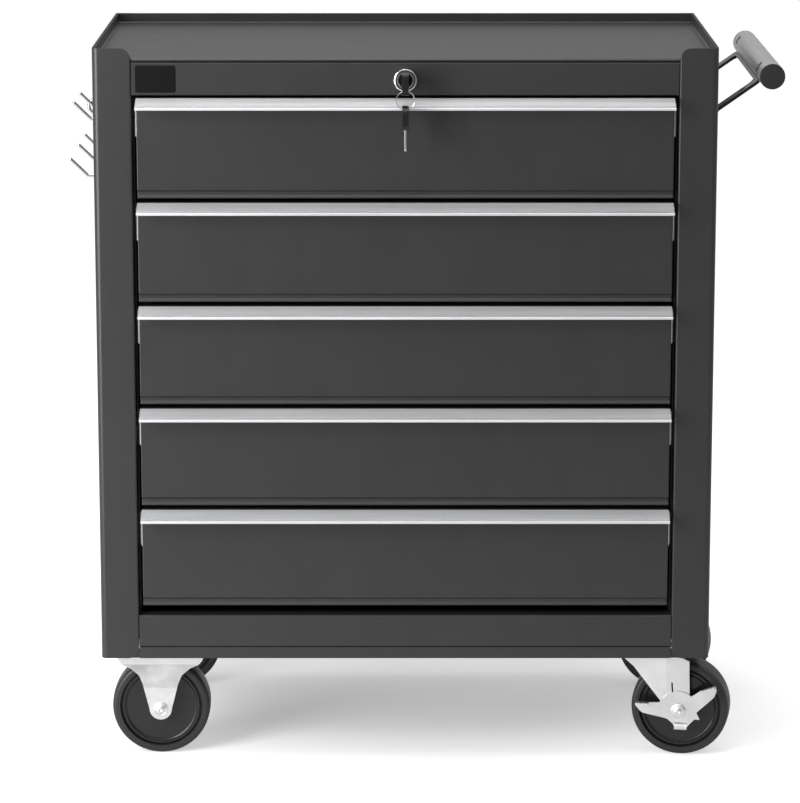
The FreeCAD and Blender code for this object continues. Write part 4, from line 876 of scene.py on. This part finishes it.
def keys():
    """The key in the plug, the split ring through its bow, and the spare key that hangs from the ring."""
    low, high = span("key")
    form = key_bow(low.y + 14, LOCK_Z, 28, (RING_Y, LOCK_Z - 6))
    piece("key_bow", form, KEY_PLASTIC, None, 2.3, "lock", 4)
    blade = box_outline(low.y + 26, LOCK_Z - 4, high.y, LOCK_Z + 4, 0.4, 2)
    form = Form().plate(blade, [], "x", -BLADE_HALF, BLADE_HALF)
    form.prism(box_outline(low.y + 27.6, LOCK_Z - 5, low.y + 29.4, LOCK_Z + 5, 0.4, 2), "x", -2, 2)
    piece("key_blade", form, KEY_STEEL, "key", 0.2, "lock")

    # Two turns of wire, which change sides where the ring is split
    mean = span("key_ring")[1].x - 0.7
    turns = []
    for step in range(2 * 48):
        a = 2 * math.pi * step / 48 + 0.6
        drift = 0.34 * math.tanh((step - 48) / 5)
        turns.append((mean * math.sin(a), RING_Y + drift, RING_Z + mean * math.cos(a)))
    ring = piece("split_ring", Form().tube(turns, 0.36, 10), CHROME, "key_ring", body="key_ring")

    low, high = span("spare_key")
    foot = high.z - 23
    form = key_bow(RING_Y, high.z - 11.5, 23, (RING_Y, high.z - 4.4))
    bow = piece("spare_key_bow", form, KEY_PLASTIC, None, 2.3, "spare_key", 4)
    blade = [(RING_Y - 4, foot + 2), (RING_Y + 4, foot + 2), (RING_Y + 4, foot - 3.6)]
    for step, depth in enumerate((0.3, 1.6, 0.7, 2.2, 1.1, 1.8, 0.5)):
        z = foot - 4.5 - 2.05 * step
        blade += [(RING_Y + 4 - depth, z), (RING_Y + 4 - depth, z - 0.7)]
    blade += [(RING_Y + 1.2, low.z), (RING_Y - 2, low.z), (RING_Y - 4, low.z + 2)]
    form = Form().plate(blade, [], "x", -BLADE_HALF, BLADE_HALF)
    blade = piece("spare_key_blade", form, KEY_STEEL, "spare_key", 0.15, "spare_key")
    for soft in (ring, bow, blade):
        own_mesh(soft)


# Push handle

TUBE_X, _, TUBE_Z = middle("handle_tube")
TUBE_R = span("handle_tube")[1].x - TUBE_X
SLOPE = math.radians(35.1)
ARM_Y = span("handle_bracket")[1].y - 10


def handle():
    """A silver tube with moulded caps on a bent bracket of two arms and a bridge."""
    half = span("handle_end_caps")[1].y
    wall = [(-half + 2.6, 11.3), (-half + 2.6, TUBE_R - 0.3), (-half + 2.9, TUBE_R)]
    form = Form().lathe(mirrored(wall, -1, 1), (TUBE_X, 0, TUBE_Z), (0, 1, 0), 72, True)
    piece("grip_tube", form, TUBE_PAINT, "handle_tube")
    cap = [(half - 14, 10.9), (half - 2.5, 10.9), (half - 2.5, TUBE_R)]
    cap += arc((half - 0.9, TUBE_R - 0.9), 0.9, 90, 0, 3) + [(half, 0.05)]
    form = Form()
    for sign in SIDES:
        form.lathe(cap, (TUBE_X, 0, TUBE_Z), (0, sign, 0), 72)
    piece("grip_caps", form, CAP_PLASTIC, "handle_end_caps")

    low = span("handle_bracket")[0].z
    foot_top = TUBE_Z - (TUBE_X - SIDE) * math.tan(SLOPE)
    along = (TUBE_X - SIDE) / math.cos(SLOPE) - TUBE_R - 0.1
    knee = (SIDE + 1.5, foot_top + 1.5 * math.tan(SLOPE))
    end = (SIDE + along * math.cos(SLOPE), foot_top + along * math.sin(SLOPE))
    fold = Fold([(SIDE + 1.5, low), knee, end], 4.5)
    inner, outer = ARM_Y - 10, ARM_Y + 10
    last = fold.length
    outline = rounded([
        (0, -outer, 5), (0, -inner, 5), (last - 3.5, -inner, 8), (last - 3.5, inner, 8),
        (0, inner, 5), (0, outer, 5), (last, outer, 4), (last, -outer, 4),
    ], 0, 6)
    slot = box_outline(last - 24, -ARM_Y - 3, last - 15, -ARM_Y + 3, 2.9, 5)
    screws = [circle((6 + 12 * k, sign * ARM_Y), 2.5, 12) for k in (0, 1) for sign in SIDES]
    form = Form().sheet(fold, 3, outline, "y", [slot] + screws)
    piece("handle_arms", form, HANDLE_PAINT, "handle_bracket", 0.5)
    # Two screws in each foot, and the flat heads that hold the tube to its arms
    form = Form()
    dome = [(0, 5.0), (0.15, 5.0), (0.4, 4.4), (0.5, 3.4), (0.5, 2.2), (0.2, 1.7), (0.15, 0.05)]
    aside = math.radians(148)
    out = Vector((math.cos(aside), 0, math.sin(aside)))
    for sign in SIDES:
        for k in (0, 1):
            form.lathe(dome, (SIDE + 3, sign * ARM_Y, low + 6 + 12 * k), (1, 0, 0), 24)
        form.lathe(dome, Vector((TUBE_X, sign * (ARM_Y + 1), TUBE_Z)) + out * (TUBE_R - 0.25), out, 24)
    piece("handle_screws", form, HANDLE_PAINT)


# Peg hooks

HOOK_PLACES = ((2, 4), (6, 4), (9, 4), (4, 2), (7, 2), (8, 2))
RING_HOOK = (8, 2)
RING_HOOK_R = 7.5


def hooks():
    """Five bent wire hooks and one ring hook in the side's peg holes."""
    places = peg_places()
    form = Form()
    tail = -INNER + 2.0
    for column, row in HOOK_PLACES:
        y, z = places[(column - 1) * PEG_ROWS + row]
        reach = [(-SIDE - 14, z), (-SIDE - 32.5, z + 18)]
        loop = []
        if (column, row) == RING_HOOK:
            reach = [(-SIDE - 17 + RING_HOOK_R, z)]
            loop = arc((-SIDE - 17, z), RING_HOOK_R, -15, -330, 21)
        bent = Fold([(tail, z + 8), (tail, z), *reach], 4, 5)
        form.tube([(u, y, v) for u, v in [spot for _, spot, _ in bent.stations] + loop], 1.75, 14)
    piece("wire_hooks", form, HOOK_CHROME, "peg_hooks")


# Casters

CASTER_X = middle("swivel_caster_plates").x
CASTER_Y = middle("left_rear_wheel").y
TRAIL = 34
YAW = math.radians(-10)
LEG = 24.25
STEEL = 2.5
AXLE_R = 5.9
EYE_R = 6.1


def wheel(name, centre, turn):
    """A rubber tyre with rounded shoulders on a plastic core with a groove ring and a hub."""
    tyre = [(-12.5, 41.3), (-14.6, 41.3), (-16, 42.2)]
    tyre += [(-16 + 4.5 - 4.5 * math.cos(math.radians(a)), 45.4 + 4.35 * math.sin(math.radians(a)))
             for a in range(0, 91, 15)]
    tyre += [(-6, 49.95), (0, WHEEL)]
    tyre += [(-d, r) for d, r in reversed(tyre[:-1])]
    side = [
        (-22.4, 6.1), (-22.4, 9.4), (-21.8, 10.2), (-14.4, 10.8), (-13.4, 12.2), (-12.9, 34.4), (-13.5, 36.2),
        (-14.8, 37.2), (-15, 38), (-15, 39.2), (-14.4, 39.9), (-12.6, 40), (-12.4, 41.25),
    ]
    matrix = Matrix.Translation(centre) @ Matrix.Rotation(turn, 4, "Z")
    for part, profile, finish, node in (("tyre", tyre, TYRE_RUBBER, None),
                                        ("core", mirrored(side, -1, 1), WHEEL_PLASTIC, name)):
        form = Form().lathe(profile, (0, 0, 0), (0, 1, 0), 96, True).turned(matrix)
        piece(f"{name}_{part}", form, finish, node, body=name)


def plate_and_bolts(plates, bolts, x, y, low):
    """A caster's plate with slotted corners and its four bolts."""
    outline = box_outline(x - 52.5, y - 40, x + 52.5, y + 40, 6, 5)
    slots = []
    washer = [(0.1, 4.6), (0.1, 8.4), (-1.5, 8.4), (-1.5, 4.6)]
    for u in (x - 40, x + 40):
        for v in (y - 30, y + 30):
            slots.append(box_outline(u - 6, v - 4.4, u + 6, v + 4.4, 4.3, 6))
            bolts.lathe(washer, (u, v, low), (0, 0, 1), 28, True)
            bolts.prism(circle((u, v), 6.9, 6), "z", low - 6.6, low - 1.5, 0.7, 0)
            bolts.lathe([(0, 3.9), (4, 3.9)], (u, v, low - 1.6), (0, 0, 1), 20)
    plates.plate(outline, slots, "z", low, low + STEEL)


def rivet_head(form, centre, outward, radius):
    """A domed axle head with a turned ring round it."""
    head = [(0, 1), (0.7, 1), (1.2, 0.93), (1.4, 0.86), (1.1, 0.80), (1.3, 0.74), (2.3, 0.60), (3.1, 0.38),
            (3.4, 0.22), (3.0, 0.14)]
    form.lathe([(d, radius * share) for d, share in head] + [(2.95, 0.05)], centre, outward, 36)


def fixed_casters():
    """Pressed forks with a joggled, waisted leg each side, under their plates."""
    low = span("fixed_caster_forks")[1].z - STEEL
    plates, bolts, legs, axles = Form(), Form(), Form(), Form()
    fold = Fold([(20.6, low), (20.6, WHEEL + 46), (LEG, WHEEL + 22), (LEG, WHEEL - 11.4)], 12, 5)
    hub = fold.at(1, WHEEL)
    half = [(fold.at(1, z), across, radius) for z, across, radius in (
        (low, 43, 0), (WHEEL + 50, 43, 3), (WHEEL + 45.5, 39, 4), (WHEEL + 41.5, 30, 6),
        (WHEEL + 34.5, 21.6, 8), (WHEEL + 25, 17.8, 14), (WHEEL, 11.4, 0), (WHEEL, 0, 0), (low, 0, 0))]
    right = rounded(half, 0, 6)[:-2]
    outline = right + arc((hub, 0), 11.4, 75, -75, 10) + [(s, -x) for s, x in reversed(right)]
    for sign in (-1, 1):
        y = sign * CASTER_Y
        plate_and_bolts(plates, bolts, -CASTER_X, y, low)
        axles.lathe([(-25.6, AXLE_R), (25.6, AXLE_R)], (-CASTER_X, y, WHEEL), (0, 1, 0), 32)
        for side in (-1, 1):
            matrix = Matrix.Translation((-CASTER_X, y, 0)) @ Matrix.Diagonal((1, side, 1, 1))
            legs.sheet(fold, STEEL, outline, "x", [circle((hub, 0), EYE_R)], matrix)
            rivet_head(axles, (-CASTER_X, y + side * 25.5, WHEEL), (0, side, 0), 7.4)
    piece("fixed_forks", legs, CASTER_METAL, "fixed_caster_forks", 0.5)
    piece("fixed_plates", plates, CASTER_METAL, bevel=0.4)
    piece("fixed_bolts", bolts, CASTER_METAL)
    piece("fixed_axles", axles, CASTER_METAL, "fixed_caster_axles")


def swivel_plates():
    """Plates with their ball races and king pins."""
    low = span("swivel_caster_plates")[1].z - STEEL
    plates, bolts, races = Form(), Form(), Form()
    race = [(0, 30), (-1.5, 30), (-3.2, 28.5), (-5.4, 27), (-6.6, 27), (-7.4, 25.6), (-9.2, 25.2),
            (-9.2, 6.5), (0, 6.5)]
    for sign in (-1, 1):
        x, y = CASTER_X, sign * CASTER_Y
        plate_and_bolts(plates, bolts, x, y, low)
        races.lathe(race, (x, y, low), (0, 0, 1), 56, True)
        races.lathe([(0, AXLE_R), (-14, AXLE_R)], (x, y, low), (0, 0, 1), 28)
        races.prism(circle((x, y), 9, 6), "z", low - 15.2, low - 12.8, 0.4)
    piece("swivel_plates", plates, CASTER_METAL, bevel=0.4)
    piece("swivel_bolts", bolts, CASTER_METAL)
    piece("swivel_races", races, RACE_METAL, "swivel_caster_plates", 0.2)


def swivel_fork(end, matrix):
    """The trailing fork: a crown plate and two creased legs with an edge notch."""
    crown_low = span(f"right_{end}_fork")[1].z - 3
    top = crown_low + 0.2
    crown = box_outline(-22, -25.4, 26, 25.4, 5, 5)
    form = Form().plate(crown, [circle((0, 0), 6.2)], "z", crown_low, crown_low + 3)
    fold = Fold([(-28, 20.4), (21, LEG), (47, LEG)], 12, 4)
    leg = rounded([(fold.at(0, x), z, radius) for x, z, radius in (
        (-22, top, 0),
        (-26.5, top - 8, 4),
        (-13, top - 19, 10),
        (TRAIL - 13.5, WHEEL + 3, 12),
        (TRAIL - 8, WHEEL - 9.5, 9),
        (TRAIL + 8, WHEEL - 9.5, 9),
        (TRAIL + 11.4, WHEEL + 8, 12),
        (TRAIL + 10.4, WHEEL + 52, 2),
        (TRAIL - 1, WHEEL + 57.5, 3),
        (TRAIL - 6, top, 2),
    )], 0, 6)
    notch = rounded([(fold.at(0, TRAIL + x), WHEEL + z) for x, z in (
        (-7.9, 30), (-7.0, 19), (-5.6, 19), (-6.1, 28.5))], 0.5, 3)
    eye = circle((fold.at(0, TRAIL), WHEEL), EYE_R)
    for side in (-1, 1):
        form.sheet(fold, STEEL, leg, "z", [eye, notch], Matrix.Diagonal((1, side, 1, 1)))
    piece(f"right_{end}_fork_pressing", form.turned(matrix), CASTER_METAL, f"right_{end}_fork", 0.5,
          f"right_{end}_swivel")


def pedal(form, start, end, face):
    """A folded tread with a row of teeth along a wing's upper edge."""
    start, end = Vector(start), Vector(end)
    along = (end - start).normalized()
    up = Vector((-along.y, along.x))
    low, high = up * -1.8, up * 0.2
    section = [start + low, end + low]
    teeth = 5
    tooth = (start - end) / teeth
    for k in range(teeth):
        section += [end + tooth * k + high, end + tooth * (k + 0.5) + up * 1.6]
    section.append(start + high)
    form.prism([tuple(spot) for spot in section], "y", face - 7.6, face - 5.6, 0.15)
    back = [start + low, end + low, end + high, start + high]
    form.prism([tuple(spot) for spot in back], "y", face - 5.6, face + 0.5)


def brake(end, matrix):
    """The stamped brake plate with two toothed pedals, a stop spike and a turned-out tab."""
    face = -25.5 - 0.3 - 2
    outline = rounded([
        (-43.8, 7.6, 1.2), (-43.4, 3.3, 3), (-37.8, -3.3, 8), (-11.8, -8.5, 4), (-5.6, -13.4, 2),
        (-3.9, -16.6, 0.6), (9.3, -16.6, 0.6), (10.6, -14.6, 2), (16.7, -8.1, 0.8), (22.2, -8.5, 0.5),
        (18.5, -1.1, 0.8), (36.3, 15.9, 7), (39.0, 22.6, 4), (37.4, 27.9, 1.0), (23, 22.8, 1),
        (15.6, 17.4, 2),
    ], 0, 5)
    outline += arc((0, 0), 20.5, 50, 150, 12) + [(-19.4, 8.3), (-30.4, 7.6)]
    outline = [(x, z + WHEEL) for x, z in outline]
    form = Form().plate(outline, [circle((0, WHEEL), EYE_R)], "y", face, face + 2)
    pedal(form, (-43.4, WHEEL + 7.6), (-30.4, WHEEL + 7.6), face)
    pedal(form, (23.4, WHEEL + 23), (37.0, WHEEL + 27.8), face)
    tab = Fold([(face + 1, WHEEL - 12), (face + 1, WHEEL - 15.4), (face - 4.5, WHEEL - 17.4)], 2.0, 5)
    form.prism(tab.section(2), "x", -3.7, 9.1)
    # A pressed rib across the left wing
    form.prism(box_outline(-19.5, WHEEL - 6.2, -17.7, WHEEL + 7, 0.8, 3), "y", face - 0.5, face + 0.4, 0.4, 0)
    form.turned(matrix @ Matrix.Translation((TRAIL, 0, 0)))
    piece(f"right_{end}_brake_plate", form, CASTER_METAL, f"right_{end}_brake", 0.3, f"right_{end}_brake")


def swivel_casters():
    """The swivel casters on the right, with brakes, and the wheels of both sides."""
    swivel_plates()
    for end, sign in (("front", -1), ("rear", 1)):
        pin = Vector((CASTER_X, sign * CASTER_Y, 0))
        matrix = Matrix.Translation(pin) @ Matrix.Rotation(YAW, 4, "Z")
        swivel_fork(end, matrix)
        brake(end, matrix)
        axle = Form().lathe([(-30.4, AXLE_R), (25.6, AXLE_R)], (TRAIL, 0, WHEEL), (0, 1, 0), 32)
        rivet_head(axle, (TRAIL, 25.5, WHEEL), (0, 1, 0), 7.4)
        rivet_head(axle, (TRAIL, -28.1, WHEEL), (0, -1, 0), 7.8)
        piece(f"right_{end}_axle_rivet", axle.turned(matrix), CASTER_METAL, f"right_{end}_axle",
              body=f"right_{end}_swivel")
        wheel(f"right_{end}_wheel", matrix @ Vector((TRAIL, 0, WHEEL)), YAW)
        wheel(f"left_{end}_wheel", Vector((-CASTER_X, sign * CASTER_Y, WHEEL)), 0)


# Studio

WHITE = (1, 1, 1, 1)

# What matt and shiny surfaces see of the sky, what shiny ones see of the floor, and the floor's own glow,
# which is lower near the object as a painted shadow
DIFFUSE_SKY = 0.42
MIRROR_FRONT = 0.25
MIRROR_BACK = 0.42
FLOOR_HALF = 14
FLOOR_WHITE = 0.84
FLOOR_FRONT = 0.35
FLOOR_GLOW_PAINTED_SHADOW_TO_WHITE = (0.34, 0.64)
PAINTED_SHADOW_REACH = (0.16, 0.50)
PAINTED_SHADOW_CENTRE = (0, 0.14, 0)
MIRROR_GLOW = 0.08

# Name, place, target, width and height in metres, and power in watts
LAMPS = (
    ("top_softbox", (-0.3, -0.2, 3.0), (0, 0, 0.3), 2.4, 2.0, 38),
    ("left_softbox", (-1.35, -1.3, 0.8), (0, 0, 0.35), 0.8, 1.5, 37),
    ("right_softbox", (2.8, -0.8, 1.5), (0, 0, 0.4), 1.0, 2.0, 3),
)

# The camera stands before the middle, looks down, and is fitted to the shell's corners.
CAMERA_PLACE = (-6.0, FRONT - 3635.0, 1147.0)
CAMERA_YAW = 0.0002
CAMERA_PITCH = 0.2092
CAMERA_LENS = 166.64


def world():
    """White to the eye. Metal sees it too, dimmer towards the front of the studio and brightest overhead."""
    sky = bpy.data.worlds.new("studio")
    bpy.context.scene.world = sky
    tree = Tree(sky, "Background")
    way = tree.coordinates["Generated"]
    level = tree.eased(tree.axis(way, "Y"), -0.5, 0.2, MIRROR_FRONT, MIRROR_BACK)
    level = tree.maths("MAXIMUM", level, tree.eased(tree.axis(way, "Z"), 0.25, 0.8, 0.0, 1.0))
    value = DIFFUSE_SKY
    for chosen, brightness in ((tree.mirror(), level), (tree.ray("Camera"), 1.0)):
        value = tree.add("Mix", 0, {0: chosen, 2: value, 3: brightness})
    tree.set(Strength=value, Color=WHITE)


def floor():
    """A white floor that keeps the object's cast shadow, with a painted shadow as well: its glow to the eye
    is lower near the object. Metal sees it dimmer in front of the object.
    """
    mesh = bpy.data.meshes.new("floor")
    corners = [(x * FLOOR_HALF, y * FLOOR_HALF, 0) for x, y in ((-1, -1), (1, -1), (1, 1), (-1, 1))]
    mesh.from_pydata(corners, [], [(0, 1, 2, 3)])
    ground = bpy.data.objects.new("floor", mesh)
    bpy.context.scene.collection.objects.link(ground)
    tree = material_tree("floor")
    mirror = tree.mirror()
    front = tree.eased(tree.axis(tree.place, "Y"), -1.1, 0.0, 1.0, 0.0)
    tone = tree.mix(tree.maths("MULTIPLY", mirror, front), (FLOOR_WHITE,) * 3, (FLOOR_FRONT,) * 3)
    # Painted shadow: the glow to the eye is lowest about a point just behind the middle and rises to white
    # further away.
    away = tree.add("VectorMath", "Value", {0: tree.place, 1: PAINTED_SHADOW_CENTRE}, operation="DISTANCE")
    glow_with_painted_shadow = tree.maths("MULTIPLY", tree.ray("Camera"), tree.eased(away, *PAINTED_SHADOW_REACH, *FLOOR_GLOW_PAINTED_SHADOW_TO_WHITE))
    glow = tree.maths("ADD", glow_with_painted_shadow, tree.maths("MULTIPLY", mirror, MIRROR_GLOW))
    mesh.materials.append(tree.set(Base_Color=tone, Roughness=0.9, Specular_IOR_Level=0.1,
                                   Emission_Color=WHITE, Emission_Strength=glow))


def placed(name, data, place, forward):
    """A lamp or camera at a place, facing forwards."""
    holder = bpy.data.objects.new(name, data)
    holder.location = place
    holder.rotation_euler = forward.to_track_quat("-Z", "Y").to_euler()
    bpy.context.scene.collection.objects.link(holder)
    return holder


def lamps():
    """Soft boxes overhead and at both sides, the left one stronger."""
    for name, place, target, width, height, power in LAMPS:
        lamp = bpy.data.lights.new(name, "AREA")
        lamp.shape = "RECTANGLE"
        lamp.size = width
        lamp.size_y = height
        lamp.energy = power
        placed(name, lamp, place, Vector(target) - Vector(place))


def camera():
    """The camera at the photograph's viewing angle."""
    lens = bpy.data.cameras.new("camera")
    lens.lens = CAMERA_LENS
    lens.clip_start = 0.05
    lens.clip_end = 100
    flat = math.cos(CAMERA_PITCH)
    forward = Vector((math.sin(CAMERA_YAW) * flat, math.cos(CAMERA_YAW) * flat, -math.sin(CAMERA_PITCH)))
    bpy.context.scene.camera = placed("camera", lens, Vector(CAMERA_PLACE) * MM + SHIFT, forward)


def cabinet():
    """Every piece of the object."""
    side_panel("right_side_panel", 1, [])
    side_panel("left_side_panel", -1, peg_places())
    top_tray()
    rails()
    base()
    rivets()
    badge()
    slides()
    for number in DRAWERS:
        drawer_front(f"drawer_{number}")
        drawer_pull(f"drawer_{number}")
        drawer_tray(f"drawer_{number}")
    lock()
    keys()
    handle()
    hooks()
    fixed_casters()
    swivel_casters()
    finish_node(PAINT, "back_panel")
    finish_node(INNER_PAINT, "slide_posts")
    finish_node(LOCK_METAL, "lock_rod", "lock_bar", "lock_bar_guides")


bpy.context.scene.view_settings.view_transform = "Standard"
cabinet()
world()
floor()
lamps()
camera()
